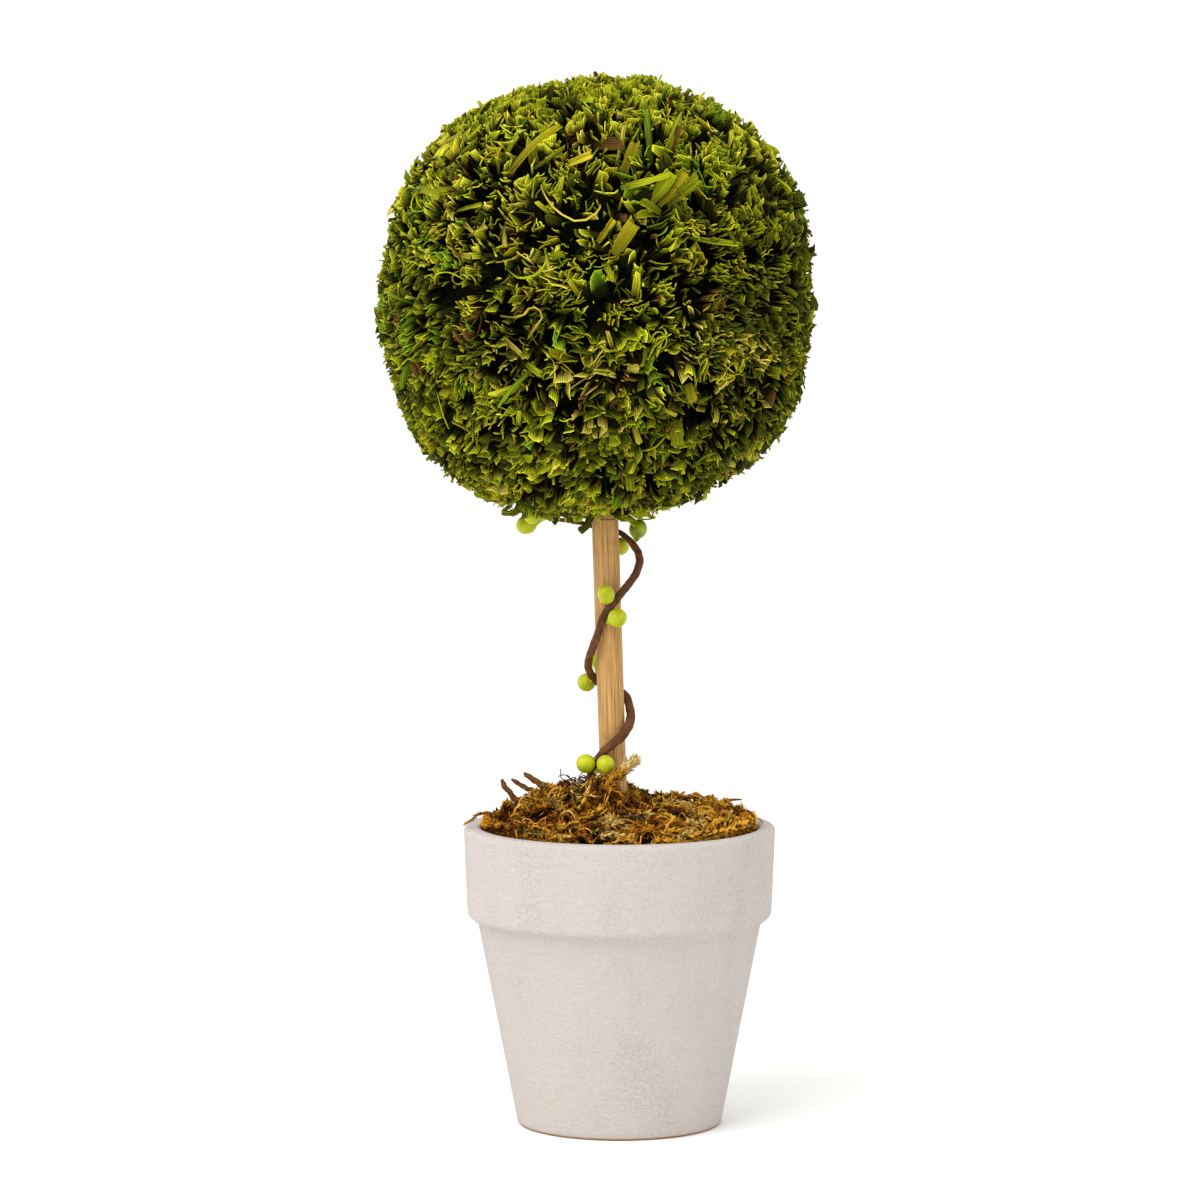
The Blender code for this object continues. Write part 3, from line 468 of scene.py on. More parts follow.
def dry_moss(name, color, under):
    """Sphagnum, pressed and dried. Its tiny papery leaves give the eye a matt gold, each with its
    own tone, with a painted highlight at the tip and painted shade at the foot, and browner in
    patches of a few millimetres."""
    made, tree = new_material(name, color, 0.85, 1.4, 0.15)
    flat = add_node(tree, "UVMap", uv_map="mm")
    across = add_node(tree, "Mapping", {"Vector": flat, "Scale": (1, 0, 1)})
    own = add_node(tree, "TexNoise", {"Vector": across, "Scale": 3})
    place = add_node(tree, "TexCoord").outputs["Object"]
    patch = add_node(tree, "TexNoise", {"Vector": place, "Scale": 300, "Detail": 3})
    tone = coat(tree, own, 0.40, 0.60, shade(color, 0.6), shade(color, 1.4))
    tone = coat(tree, patch, 0.5, 0.72, tone, under)
    # Millimetres below the leaf's tip: a painted highlight to 0.8, and painted shade from 0.9
    # to 2.1.
    below = add_node(tree, "SeparateXYZ", {0: flat}).outputs[1]
    tone = coat(tree, below, -0.8, -0.1, tone, shade(color, 1.5))
    return finished(made, coat(tree, below, -0.9, -2.1, tone, under))


def dry_bark(name, color):
    """Shreds of bark and twig, dried in the open. They give the eye a matt grey-brown with
    dark furrows along the grain."""
    made, tree = new_material(name, color, 0.9, 1.45, 0.2)
    flat = add_node(tree, "UVMap", uv_map="mm")
    # Furrows are 0.6 mm apart and four times as long.
    along = add_node(tree, "Mapping", {"Vector": flat, "Scale": (1, 0.25, 1)})
    furrow = add_node(tree, "TexNoise", {
        "Vector": along, "Scale": 1.6, "Detail": 4, "Roughness": 0.7})
    tone = coat(tree, furrow, 0.35, 0.68, shade(color, 0.3), shade(color, 1.35))
    return finished(made, tone, furrow, 0.9, 0.0005)


def dark_core(name, color):
    """Packed leaf bases and crumbs, painted near black as the deep shade in the gaps."""
    made, tree = new_material(name, color, 0.95, 1.4, 0.05)
    place = add_node(tree, "TexCoord").outputs["Object"]
    # Crumbs of about 2 mm.
    crumbs = add_node(tree, "TexNoise", {"Vector": place, "Scale": 450, "Detail": 3})
    tone = coat(tree, crumbs, 0.4, 0.7, shade(color, 0.5), shade(color, 1.6))
    return finished(made, tone, crumbs, 0.8, 0.001)


def open_cell_foam(color):
    """Phenolic flower foam, cut dry. Its open cells give the eye a dull crumbly green."""
    made, tree = new_material("open_cell_foam", color, 0.95, 1.45, 0.2)
    place = add_node(tree, "TexCoord").outputs["Object"]
    # Cells of 0.9 mm, with dark walls.
    cells = add_node(tree, "TexVoronoi", {"Vector": place, "Scale": 1100})
    tone = coat(tree, cells, 0.0, 1.0, shade(color, 1.15), shade(color, 0.5))
    return finished(made, tone, cells, 0.7, 0.0004)


def studio_paper(color):
    """Seamless matt paper. It gives the eye a plain pale ground with the least tooth."""
    made, tree = new_material("studio_paper", color, 1.0, 1.45, 0.0)
    place = add_node(tree, "TexCoord").outputs["Object"]
    tooth = add_node(tree, "TexNoise", {"Vector": place, "Scale": 600, "Detail": 2})
    return finished(made, coat(tree, tooth, 0.0, 1.0, shade(color, 0.985), color))


# ---------------------------------------------------------------- shapes


def around(turn, reach=1, height=0):
    """The point this far from the Z axis, at this angle and height."""
    return Vector((reach * math.cos(turn), reach * math.sin(turn), height))


def turned(first, second, angle):
    """The first direction, turned towards the second, which is square to it."""
    return first * np.cos(angle) + second * np.sin(angle)


def add_object(name, data):
    """An object in the scene for this mesh, light or camera."""
    made = bpy.data.objects.new(name, data)
    bpy.context.scene.collection.objects.link(made)
    return made


def add_piece(name, data, finishes, slot, *nodes):
    """An object for this mesh that rides on the body and stands for the CAD nodes."""
    data.name = name
    thing = add_object(name, data)
    for finish in finishes:
        data.materials.append(finish)
    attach(thing, "root")
    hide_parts(*nodes)
    return thing


def mesh_of(bm, name, smooth=True, sharp=None):
    """The bmesh as a mesh, with the bmesh freed."""
    data = bpy.data.meshes.new(name)
    bm.to_mesh(data)
    bm.free()
    if smooth:
        data.shade_smooth()
        if sharp:
            data.set_sharp_from_angle(angle=math.radians(sharp))
    return data


def arc(centre, radius, start, end, parts):
    """Points on an arc, with its angles in degrees."""
    turns = [math.radians(start + (end - start) * i / parts) for i in range(parts + 1)]
    return [(centre[0] + radius * math.cos(a), centre[1] + radius * math.sin(a)) for a in turns]


def filled(profile, step):
    """The profile with points added so that none are further apart than the step."""
    made = []
    for (r0, h0), (r1, h1) in zip(profile, profile[1:]):
        parts = max(1, math.ceil(math.hypot(r1 - r0, h1 - h0) / step))
        made += [(r0 + (r1 - r0) * i / parts, h0 + (h1 - h0) * i / parts) for i in range(parts)]
    return [*made, profile[-1]]


def spun(profile, steps):
    """A bmesh of the profile of (radius, height) points, spun once round Z and closed."""
    bm = bmesh.new()
    points = [bm.verts.new((radius, 0, height)) for radius, height in profile]
    edges = [bm.edges.new(pair) for pair in zip(points, points[1:])]
    bmesh.ops.spin(
        bm, geom=points + edges, cent=(0, 0, 0), axis=(0, 0, 1), angle=2 * math.pi,
        steps=steps, use_merge=True, use_duplicate=False,
    )
    bmesh.ops.remove_doubles(bm, verts=bm.verts, dist=0.000002)
    bmesh.ops.recalc_face_normals(bm, faces=bm.faces)
    return bm


def smooth_route(stations, parts):
    """Points on a Catmull-Rom curve through the stations, with this many to a span."""
    ends = [stations[0], *stations, stations[-1]]
    route = []
    for i in range(len(stations) - 1):
        a, b, c, d = ends[i:i + 4]
        for step in range(parts):
            t = step / parts
            route.append(
                0.5 * (2 * b + (c - a) * t + (2 * a - 5 * b + 4 * c - d) * t ** 2
                       + (3 * b - a - 3 * c + d) * t ** 3)
            )
    return [*route, stations[-1]]


def swept(route, radii, sides, relief, flat=1.0):
    """A limb along a route: a circle that is extruded from point to point and closed.

    relief gives a factor on the radius for (how far along, turn), and flat squeezes the section.
    """
    bm = bmesh.new()
    layer = bm.loops.layers.uv.new("mm")
    where = {}
    ring = bmesh.ops.create_circle(bm, segments=sides, radius=1)["verts"]
    bm.faces.new(reversed(ring))
    ways = [(route[min(i + 1, len(route) - 1)] - route[max(i - 1, 0)]).normalized()
            for i in range(len(route))]
    side = ways[0].orthogonal().normalized()
    along = 0.0
    for index, (place, way, radius) in enumerate(zip(route, ways, radii)):
        side = (side - way * side.dot(way)).normalized()
        up = way.cross(side)
        if index:
            along += (place - route[index - 1]).length
            edges = [bm.edges.get((ring[i - 1], ring[i])) for i in range(sides)]
            made = bmesh.ops.extrude_edge_only(bm, edges=edges)["geom"]
            fresh = {v for v in made if isinstance(v, bmesh.types.BMVert)}
            ring = [next(e.other_vert(v) for e in v.link_edges if e.other_vert(v) in fresh)
                    for v in ring]
        for number, vert in enumerate(ring):
            turn = 2 * math.pi * number / sides
            reach = radius * relief(along, turn)
            vert.co = place + reach * (math.cos(turn) * side + flat * math.sin(turn) * up)
            where[vert] = (turn * radius / MM, along / MM)
    bm.faces.new(ring)
    for face in bm.faces:
        marks = [where[loop.vert] for loop in face.loops]
        wrap = max(mark[0] for mark in marks) - min(mark[0] for mark in marks)
        for loop, (x, y) in zip(face.loops, marks):
            # The last face round starts again at nought, so its first corners count one turn on.
            full = 2 * math.pi * max(radii) / MM
            loop[layer].uv = (x + full if wrap > full / 2 and x < full / 4 else x, y)
    bmesh.ops.recalc_face_normals(bm, faces=bm.faces)
    return bm


def unit(vectors):
    return vectors / np.linalg.norm(vectors, axis=-1, keepdims=True)


def joined_mesh(name, points, quads, marks, ends=None):
    """One mesh from arrays: points, quads of their numbers, and where each point is across and
    along its strip in millimetres. Quads that are marked as ends take the second finish."""
    data = bpy.data.meshes.new(name)
    points, marks = points.reshape(-1, 3), marks.reshape(-1, 2)
    data.vertices.add(len(points))
    data.vertices.foreach_set("co", points.astype(np.float32).ravel())
    data.loops.add(quads.size)
    data.loops.foreach_set("vertex_index", quads.astype(np.int32).ravel())
    data.polygons.add(len(quads))
    data.polygons.foreach_set("loop_start", np.arange(0, quads.size, 4, dtype=np.int32))
    if ends is not None:
        data.polygons.foreach_set("material_index", ends.astype(np.int32))
    layer = data.uv_layers.new(name="mm")
    layer.data.foreach_set("uv", marks[quads.ravel()].astype(np.float32).ravel())
    data.update(calc_edges=True)
    return data


def section(width, curl, wave, fold, phase, points):
    """Points across curled strips in their own plane, and the way out of the sheet at each.

    The sheet turns by curl from edge to edge, by wave to and fro, and by fold at its midrib.
    """
    share = (np.arange(points - 1) + 0.5) / (points - 1) - 0.5
    heading = curl[:, None] * share + fold[:, None] * np.sign(share)
    heading = heading + wave[:, None] * np.sin(2 * np.pi * (1.3 * share + phase[:, None]))
    step = width[:, None] / (points - 1)
    x = np.pad(np.cumsum(np.cos(heading) * step, axis=1), ((0, 0), (1, 0)))
    y = np.pad(np.cumsum(np.sin(heading) * step, axis=1), ((0, 0), (1, 0)))
    x -= x.mean(axis=1, keepdims=True)
    y -= y.mean(axis=1, keepdims=True)
    middle = (heading[:, 1:] + heading[:, :-1]) / 2
    facing = np.concatenate((heading[:, :1], middle, heading[:, -1:]), axis=1)
    return x, y, -np.sin(facing), np.cos(facing)


def strip_points(path, look, points, taper=0.0):
    """Leaf strips as rings of points round thin curled sections, from root to tip.

    path is (count, rings, 3). look holds one value for each strip of side, width and thick. It
    may hold one of curl, wave, fold, phase and twist, a factor on the width of each ring, how
    deep the tip has sunk, and how deep each ring lies, which is otherwise how far it is from the
    tip. Gives the points as (count, rings, 2 * points, 3), and how many millimetres each is
    across the strip and below the ball's surface.
    """
    count, rings = path.shape[:2]
    plain = ("curl", "wave", "fold", "phase", "twist", "sink")
    look = {**dict.fromkeys(plain, np.zeros(count)), "uneven": np.ones((count, rings)), **look}
    onward = unit(np.gradient(path, axis=1))
    steps = np.linalg.norm(np.diff(path, axis=1), axis=2)
    # Millimetres below the tip, more for a sunk tip: dried_leaf paints shade by them.
    below = np.pad(np.cumsum(steps[:, ::-1], axis=1)[:, ::-1], ((0, 0), (0, 1)))
    below = look.get("depth", below + 0.7 * look["sink"][:, None])
    made = np.empty((count, rings, 2 * points, 3))
    marks = np.empty((count, rings, 2 * points, 2))
    offset = look["phase"] * TONE_SPREAD
    for ring in range(rings):
        share = ring / (rings - 1)
        width = look["width"] * look["uneven"][:, ring] * (1 - taper * abs(2 * share - 1) ** 3)
        x, y, nx, ny = section(width, look["curl"] * (0.55 + 0.45 * share), look["wave"],
                               look["fold"], look["phase"], points)
        way = onward[:, ring]
        side = look["side"]
        across = unit(side - way * np.sum(side * way, axis=1, keepdims=True))
        up = np.cross(way, across)
        turn = (look["twist"] * share)[:, None]
        across, up = turned(across, up, turn), turned(up, -across, turn)
        half = look["thick"][:, None] / 2
        for sign, part in ((1, slice(0, points)), (-1, slice(points, None))):
            px, py = x + sign * nx * half, y + sign * ny * half
            if sign < 0:
                px, py = px[:, ::-1], py[:, ::-1]
            made[:, ring, part] = (path[:, ring, None] + px[..., None] * across[:, None]
                                   + py[..., None] * up[:, None])
        across_mm = np.linspace(0, 1, points) * width[:, None] / MM + offset[:, None]
        marks[:, ring, :points, 0] = across_mm
        marks[:, ring, points:, 0] = across_mm[:, ::-1]
        marks[:, ring, :, 1] = -below[:, ring, None] / MM
    return made, marks


def strip_quads(count, rings, points):
    """The quads of strips from strip_points, and which of them are the cut ends."""
    rounds = np.arange(rings * 2 * points).reshape(rings, 2 * points)
    after = np.roll(rounds, -1, axis=1)
    walls = np.stack((rounds[:-1], after[:-1], after[1:], rounds[1:]), axis=2).reshape(-1, 4)
    last, back = rounds[-1], rounds[-1, ::-1]
    cap = np.stack((last[:points - 1], last[1:points], back[1:points], back[:points - 1]), axis=1)
    one_strip = np.concatenate((walls, cap))
    is_end = np.arange(len(one_strip)) >= len(walls)
    start = np.arange(count)[:, None, None] * rounds.size
    return (one_strip[None] + start).reshape(-1, 4), np.tile(is_end, count)


def strip_mesh(name, path, look, points):
    """Strips that taper to both ends, as one mesh."""
    made, marks = strip_points(path, look, points, 0.6)
    quads, _ = strip_quads(len(path), path.shape[1], points)
    return joined_mesh(name, made, quads, marks)


# ---------------------------------------------------------------- where things are


def inner_radius(height):
    """Radius of the pot's straight inner wall at a height."""
    share = (height - WALL) / (POT_HEIGHT - WALL)
    return INNER_BASE_RADIUS + share * (RIM_RADIUS - WALL - INNER_BASE_RADIUS)


def stick_axis(height):
    """The point of the stick's axis at a height."""
    return Vector((-STICK_LEAN * (height - STICK_CENTRE_HEIGHT), 0, height))


def vine_route(parts):
    """The vine's points, smoothed as heights, angles round the stick and distances from it, so
    that it stays clear."""
    stations = smooth_route([Vector((height * MM, angle, distance * MM))
                             for height, angle, distance in VINE_STATIONS], parts)
    return [stick_axis(height) + distance * around(math.radians(angle))
            for height, angle, distance in stations]


def vine_radii(route, parts):
    """The vine is thickest where it first crosses the stick, and thin under the ball."""
    last = (len(route) - 1) * 3 / parts
    radii = []
    for index, place in enumerate(route):
        swell = 1 + 0.17 * math.exp(-((place.z - 138 * MM) / (9 * MM)) ** 2)
        swell -= 0.28 * math.exp(-((place.z - 205 * MM) / (4 * MM)) ** 2)
        taper = min(1, 0.42 + 0.07 * (last - index * 3 / parts))
        radii.append(VINE_RADIUS * swell * taper)
    return radii


def moss_height(x, y):
    """Height of the bed of moss: a lumpy dome that is highest left of the stick."""
    edge = inner_radius(MOSS_LEVEL)
    wall = 1 - (math.hypot(x, y) / edge) ** 3
    peak = math.exp(-((Vector((x, y)) - MOSS_PEAK).length / (25 * MM)) ** 2)
    lump = MOSS_LUMP * noise.noise(Vector((x, y, 0)) / (9 * MM))
    return MOSS_LEVEL + max(0, wall) * (MOSS_RISE * (0.44 + 0.56 * peak) + lump)


def moss_top(x, y):
    """Height of the strands that lie on the bed, with the heaps that they make."""
    top = moss_height(x, y)
    for heap_x, heap_y, rise, reach in MOSS_HEAPS:
        off = math.hypot(x - heap_x * MM, y - heap_y * MM) / (reach * MM)
        top += rise * MM * math.exp(-off * off)
    return top


class Ball:
    """The clipped surface that all strips end on, for arrays of directions from its centre."""

    def __init__(self, settings):
        self.centre = np.array(stick_axis(BALL_HEIGHT))
        self.half_width = settings.half_width
        self.half_height = settings.half_height
        self.heights = np.linspace(-1, 1, 121)
        self.turns = np.linspace(-math.pi, math.pi, 241)
        self.lumps = np.array([
            [noise.noise(around(a, math.sqrt(1 - z * z), z) * 2.3 + Vector((5.1, 0.7, 2.9)))
             for a in self.turns] for z in self.heights]) * settings.lump
        level = np.sqrt(1 - self.heights[:, None] ** 2) * np.cos(self.turns)[None]
        angle = np.degrees(np.arctan2(self.heights[:, None], level))
        upright = level ** 2 + self.heights[:, None] ** 2
        for middle, rise, spread in BULGES:
            off = (angle - middle + 180) % 360 - 180
            self.lumps += rise * MM * np.exp(-(off / spread) ** 2) * upright

    def reach(self, ways):
        """Distance from the centre to the clipped surface, along unit directions."""
        level = np.hypot(ways[..., 0], ways[..., 1]) / self.half_width
        upright = np.abs(ways[..., 2]) / self.half_height
        power = BALL_SQUARENESS
        plain = (level ** power + upright ** power) ** (-1 / power)
        rows, columns = len(self.heights) - 1, len(self.turns) - 1
        row = (np.clip(ways[..., 2], -1, 1) + 1) / 2 * rows
        column = (np.arctan2(ways[..., 1], ways[..., 0]) + math.pi) / (2 * math.pi) * columns
        r = np.minimum(row.astype(int), rows - 1)
        c = np.minimum(column.astype(int), columns - 1)
        fr, fc = row - r, column - c
        lumps = self.lumps
        return plain + ((lumps[r, c] * (1 - fc) + lumps[r, c + 1] * fc) * (1 - fr)
                        + (lumps[r + 1, c] * (1 - fc) + lumps[r + 1, c + 1] * fc) * fr)

    def clip(self, points, onward, inset, most):
        """Moves points along their onward directions to the clipped surface less an inset, but
        none further than most."""
        moved = np.zeros(points.shape[:-1])
        for _ in range(4):
            place = points + onward * moved[..., None]
            distance = np.linalg.norm(place, axis=-1)
            ways = place / distance[..., None]
            slope = np.maximum(0.35, np.sum(ways * onward, axis=-1))
            moved += (self.reach(ways) - inset - distance) / slope
            moved = np.clip(moved, -most, most)
        return points + onward * moved[..., None]


def directions(count, rng, jitter):
    """Directions spread evenly by the golden angle."""
    index = np.arange(count)
    z = 1 - 2 * (index + 0.5) / count
    turn = index * GOLDEN
    flat = np.sqrt(1 - z * z)
    ways = np.stack((flat * np.cos(turn), flat * np.sin(turn), z), axis=1)
    return unit(ways + rng.normal(0, jitter, ways.shape))


def tangents(ways):
    """For each direction, the level tangent to its right as seen from outside, and the rising
    one."""
    flat = np.stack((-ways[:, 1], ways[:, 0], np.zeros(len(ways))), axis=1)
    flat[:, 0] += 1e-6
    level = unit(flat)
    return level, np.cross(ways, level)


def drift(ways, scale, shift):
    """Slow noise over the directions, from about -0.6 to 0.6."""
    return np.array([noise.noise(Vector(way) * scale + Vector(shift)) for way in ways])


def patch(ways, x, z, wide, high):
    """A soft patch over the directions: 1 at this x and z, and fading out over wide and high."""
    return np.exp(-((ways[:, 0] - x) / wide) ** 2 - ((ways[:, 2] - z) / high) ** 2)


def keepout_balls():
    """Balls along the stick, vine and berries that strips must stay clear of, from just under
    the ball up."""
    balls = [(stick_axis(200 * MM + step * 2 * MM), STICK_RADIUS) for step in range(34)]
    balls += [(place, VINE_RADIUS) for place in vine_route(6) if place.z > 195 * MM]
    balls += [(Vector(middle) * MM, BERRY_RADIUS * size * stretch)
              for _, middle, size, stretch in BERRIES if middle[2] > 190]
    return balls


def clear_of(points, balls, width):
    """Which strips have no point inside any ball. points is (count, samples, 3)."""
    free = np.ones(len(points), bool)
    for place, radius in balls:
        distance = np.linalg.norm(points - np.array(place), axis=2).min(axis=1)
        free &= distance > radius + width
    return free


# ---------------------------------------------------------------- settings


def length_property(name, description, default):
    return FloatProperty(
        name=name, description=description, default=default, unit="LENGTH", subtype="DISTANCE",
        precision=5, min=0)


def count_property(name, description, default):
    return IntProperty(name=name, description=description, default=default, min=1)


def color_property(name, description, code):
    return FloatVectorProperty(
        name=name, description=description, default=linear(code), subtype="COLOR", size=3,
        min=0, max=1)


class TopiaryPotSettings(PropertyGroup):
    wash: color_property("Wash", "Colour of the lime wash", "#bdb5b0")
    stain: color_property("Stain", "Colour of the damp stains", "#bfa68a")
    clay: color_property("Clay", "Colour of the bare clay at the foot", "#a87c58")
    foam: color_property("Foam", "Colour of the flower foam in the pot", "#67704a")
    waver: length_property("Waver", "How far the wall wanders from true", 0.10 * MM)


class TopiaryStickSettings(PropertyGroup):
    wood: color_property("Wood", "Colour of the bamboo", "#b98e50")
    grain: color_property("Grain", "Colour of its fibre lines", "#86572c")
    paper: color_property("Paper", "Colour of the vine's paper", "#6a4022")
    berry: color_property("Berry", "Colour of the berries", "#bdc012")
    berry_shade: color_property("Berry shade", "Greener colour of the berries", "#93a00a")


class TopiaryBallSettings(PropertyGroup):
    half_width: length_property("Half width", "Half of the ball's width", 75 * MM)
    half_height: length_property("Half height", "Half of the ball's height", 76.6 * MM)
    lump: length_property("Lump", "Height of the lumps that clipping left", 1.3 * MM)
    core_depth: length_property("Core depth", "How deep the core lies", 10.5 * MM)
    tufts: count_property("Tufts", "Number of packed tufts", 1600)
    clumps: count_property("Clumps", "Number of open clumps", 3700)
    shreds: count_property("Shreds", "Number of torn shreds", 2600)
    loose: count_property("Loose", "Number of loose blades", 430)
    threads: count_property("Threads", "Number of thin curls", 48)
    thickness: length_property("Thickness", "Thickness of a leaf strip", 0.26 * MM)
    # The core's colour is painted shade: near black, as in the gaps' deep shade.
    core: color_property("Core", "Colour of the core in the gaps", "#0d0d05")
    deep: color_property("Deep green", "Darkest leaf", "#565c0a")
    leaf: color_property("Leaf green", "Commonest leaf", "#939812")
    fresh: color_property("Fresh green", "Brighter green leaf", "#b1b918")
    green: color_property("Pure green", "Leaf that kept its green", "#7e9a18")
    olive: color_property("Olive", "Olive leaf", "#b0a61a")
    lime: color_property("Lime", "Yellow-green leaf", "#d0d02e")
    straw: color_property("Straw", "Faded leaf", "#cdbd46")
    umber: color_property("Umber", "Browned leaf", "#6c4e1c")
    gold: color_property("Gold", "Yellow flakes", "#dccc2e")


class TopiaryMossSettings(PropertyGroup):
    strands: count_property("Strands", "Number of strands", 190)
    fibres: count_property("Fibres", "Number of loose fibres of a colour", 66)
    gold: color_property("Gold", "Commonest moss", "#dfa02e")
    ochre: color_property("Ochre", "Deeper moss", "#b27218")
    straw: color_property("Straw", "Palest moss", "#dfb660")
    brown: color_property("Brown", "Darkest moss", "#6a3e0e")
    pale: color_property("Pale", "The feathery sprig", "#ebcf94")
    # The bed's colour is painted shade: near black below the strands.
    bed: color_property("Bed", "Crumbs below the strands", "#150902")
    under: color_property("Under", "The moss in its own shade", "#1e0e02")
    hair: color_property("Hair", "Dark hairs", "#3a2a1a")
    bark: color_property("Bark", "Bark curls and twig", "#7a5228")
    grass: color_property("Grass", "The green blade", "#233f1a")


class TopiaryStageSettings(PropertyGroup):
    paper: color_property("Paper", "Colour of the floor", "#f8f8f6")
    sky: FloatProperty(name="Sky", description="Strength of the even light", default=1.1, min=0)
    key: FloatProperty(name="Key", description="Power of the key light", default=36.0, min=0,
                       unit="POWER")
    distance: length_property("Distance", "From the topiary to the camera", 1.67865)


# ---------------------------------------------------------------- operators


class TOPIARY_OT_pot(Operator):
    """Makes the whitewashed pot over the CAD pot"""

    bl_idname = "topiary.pot"
    bl_label = "Pot"

    def execute(self, context):
        settings = context.scene.topiary_pot
        collar_foot = POT_HEIGHT - COLLAR_HEIGHT
        foot_radius = RIM_RADIUS - COLLAR_DRAFT
        body_top = foot_radius - COLLAR_STEP
        profile = [
            (0, WALL),
            (INNER_BASE_RADIUS - 2 * MM, WALL),
            (INNER_BASE_RADIUS + 0.3 * MM, WALL + 2 * MM),
            *arc((RIM_RADIUS - WALL + LIP_ROUND, POT_HEIGHT - LIP_ROUND), LIP_ROUND, 180, 90, 5),
            *arc((RIM_RADIUS - LIP_ROUND, POT_HEIGHT - LIP_ROUND), LIP_ROUND, 90, 0, 5),
            *arc((foot_radius - 2.4 * MM, collar_foot + 2.4 * MM), 2.4 * MM, 0, -80, 6),
            *arc((body_top + 1.6 * MM, collar_foot - 2.4 * MM), 1.8 * MM, 100, 178, 5),
            (BASE_RADIUS + 0.2 * MM, FOOT_ROUND),
            (BASE_RADIUS - 0.3 * FOOT_ROUND, 0.3 * FOOT_ROUND),
            (BASE_RADIUS - FOOT_ROUND, 0),
            (0, 0),
        ]
        bm = spun(filled(profile, 1.6 * MM), 160)
        for vert in bm.verts:
            place = vert.co
            radius = math.hypot(place.x, place.y)
            if radius > INNER_BASE_RADIUS and place.z > 0.2 * MM:
                # Turning marks run level, and slow dents are left by the hand.
                ripple = noise.noise(Vector((place.x * 22, place.y * 22, place.z * 420)))
                dent = noise.noise(place * 60)
                grit = noise.noise(place * 700)
                shift = settings.waver * (0.7 * ripple + 1.1 * dent + 0.35 * grit)
                place.x -= place.x / radius * abs(shift)
                place.y -= place.y / radius * abs(shift)
        finish = whitewashed_clay(settings.wash, settings.clay, settings.stain)
        add_piece("pot_whitewashed", mesh_of(bm, "pot", sharp=50), [finish],
                  "whitewashed_clay", "pot")
        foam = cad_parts["foam_block"]
        for slot in foam.material_slots:
            slot.material = open_cell_foam(settings.foam)
        return {"FINISHED"}


class TOPIARY_OT_stick(Operator):
    """Makes the bamboo stick with its fibres in relief"""

    bl_idname = "topiary.stick"
    bl_label = "Stick"

    def execute(self, context):
        settings = context.scene.topiary_stick
        count = 140
        route = [stick_axis(STICK_FOOT + (STICK_TOP - STICK_FOOT) * i / count)
                 for i in range(count + 1)]

        def fibres(along, turn):
            fine = noise.noise(around(turn, 9, along / MM * 0.03))
            slow = noise.noise(around(turn, 1, along / MM * 0.02))
            return 1 - 0.022 * abs(fine) - 0.02 * abs(slow)

        bm = swept(route, [STICK_RADIUS] * len(route), 96, fibres)
        finish = bare_bamboo(settings.wood, settings.grain)
        add_piece("stick_bamboo", mesh_of(bm, "stick", sharp=60), [finish], "stick_wood",
                  "stick")
        return {"FINISHED"}


class TOPIARY_OT_vine(Operator):
    """Makes the paper-wrapped wire vine"""

    bl_idname = "topiary.vine"
    bl_label = "Vine"

    def execute(self, context):
        settings = context.scene.topiary_stick
        parts = 24
        route = vine_route(parts)
        radii = vine_radii(route, parts)

        def wrap(along, turn):
            # Each turn of the paper strip climbs 5 mm and ends in a small step.
            step = (along / (5 * MM) + turn / (2 * math.pi)) % 1
            spot = around(turn, 1.3, along / MM * 0.5)
            return 1 - 0.07 * step + 0.16 * noise.noise(spot) + 0.05 * noise.noise(spot * 4)

        bm = swept(route, radii, 18, wrap)
        finish = wrapped_paper("wrapped_paper", settings.paper)
        add_piece("vine_paper_wrapped", mesh_of(bm, "vine", sharp=60), [finish], "vine_paper",
                  "vine")
        return {"FINISHED"}


class TOPIARY_OT_berries(Operator):
    """Makes the painted berries, each on its stalk"""

    bl_idname = "topiary.berries"
    bl_label = "Berries"

    def execute(self, context):
        settings = context.scene.topiary_stick
        paint = berry_paint("berry_paint", settings.berry, settings.berry_shade)
        # Painted shade: a darker, greener copy of the paint for berries in the ball's shade.
        deep = berry_paint("berry_paint_deep", settings.berry_shade,
                           shade(settings.berry_shade, 0.45))
        route = vine_route(3)
        radii = vine_radii(route, 3)
        last = len(route) - 1
        for number, (station, middle, size, stretch) in enumerate(BERRIES, 1):
            index = min(round(station * 3), last)
            middle = Vector(middle) * MM
            way = (middle - route[index]).normalized()
            tangent = (route[min(index + 1, last)] - route[index - 1]).normalized()
            along, across = abs(way.dot(tangent)), way.cross(tangent).length
            beside = (radii[index] + GAP + STALK_RADIUS * along) / across
            off = beside if index < last else (GAP + STALK_RADIUS * across) / along
            foot = route[index] + way * off
            bm = self.berry(BERRY_RADIUS * size, (middle - foot).length, stretch, number)
            turn = way.to_track_quat("Z", "Y").to_matrix().to_4x4()
            bmesh.ops.transform(bm, matrix=Matrix.Translation(foot) @ turn, verts=bm.verts)
            name = f"berry_{number:02d}"
            finish = deep if number in SHADED_BERRIES else paint
            add_piece(f"{name}_painted", mesh_of(bm, name), [finish], "berry_skin", name)
        return {"FINISHED"}

    def berry(self, radius, length, stretch, seed):
        """A dipped bead, slightly out of round, dimpled at its end, on a stalk along +Z."""
        half = radius * stretch
        neck = length - min(1.22 * half, length - 0.6 * MM)
        profile = [(0, length + 0.93 * half), (0.12 * radius, length + 0.95 * half)]
        profile += [(radius * math.cos(math.radians(a)), length + half * math.sin(math.radians(a)))
                    for a in range(74, -60, -12)]
        profile += [(STALK_RADIUS + 0.12 * radius, neck), (STALK_RADIUS, 0.3 * neck),
                    (STALK_RADIUS, 0), (0, 0)]
        bm = spun(profile, 32)
        for vert in bm.verts:
            if vert.co.z > neck:
                spot = vert.co / radius + Vector((seed * 3.7, 0, 0))
                dent = abs(noise.noise(spot * 0.9)) * 0.05 + abs(noise.noise(spot * 3)) * 0.012
                middle = Vector((0, 0, length))
                vert.co = middle + (vert.co - middle) * (1 - dent)
        return bm


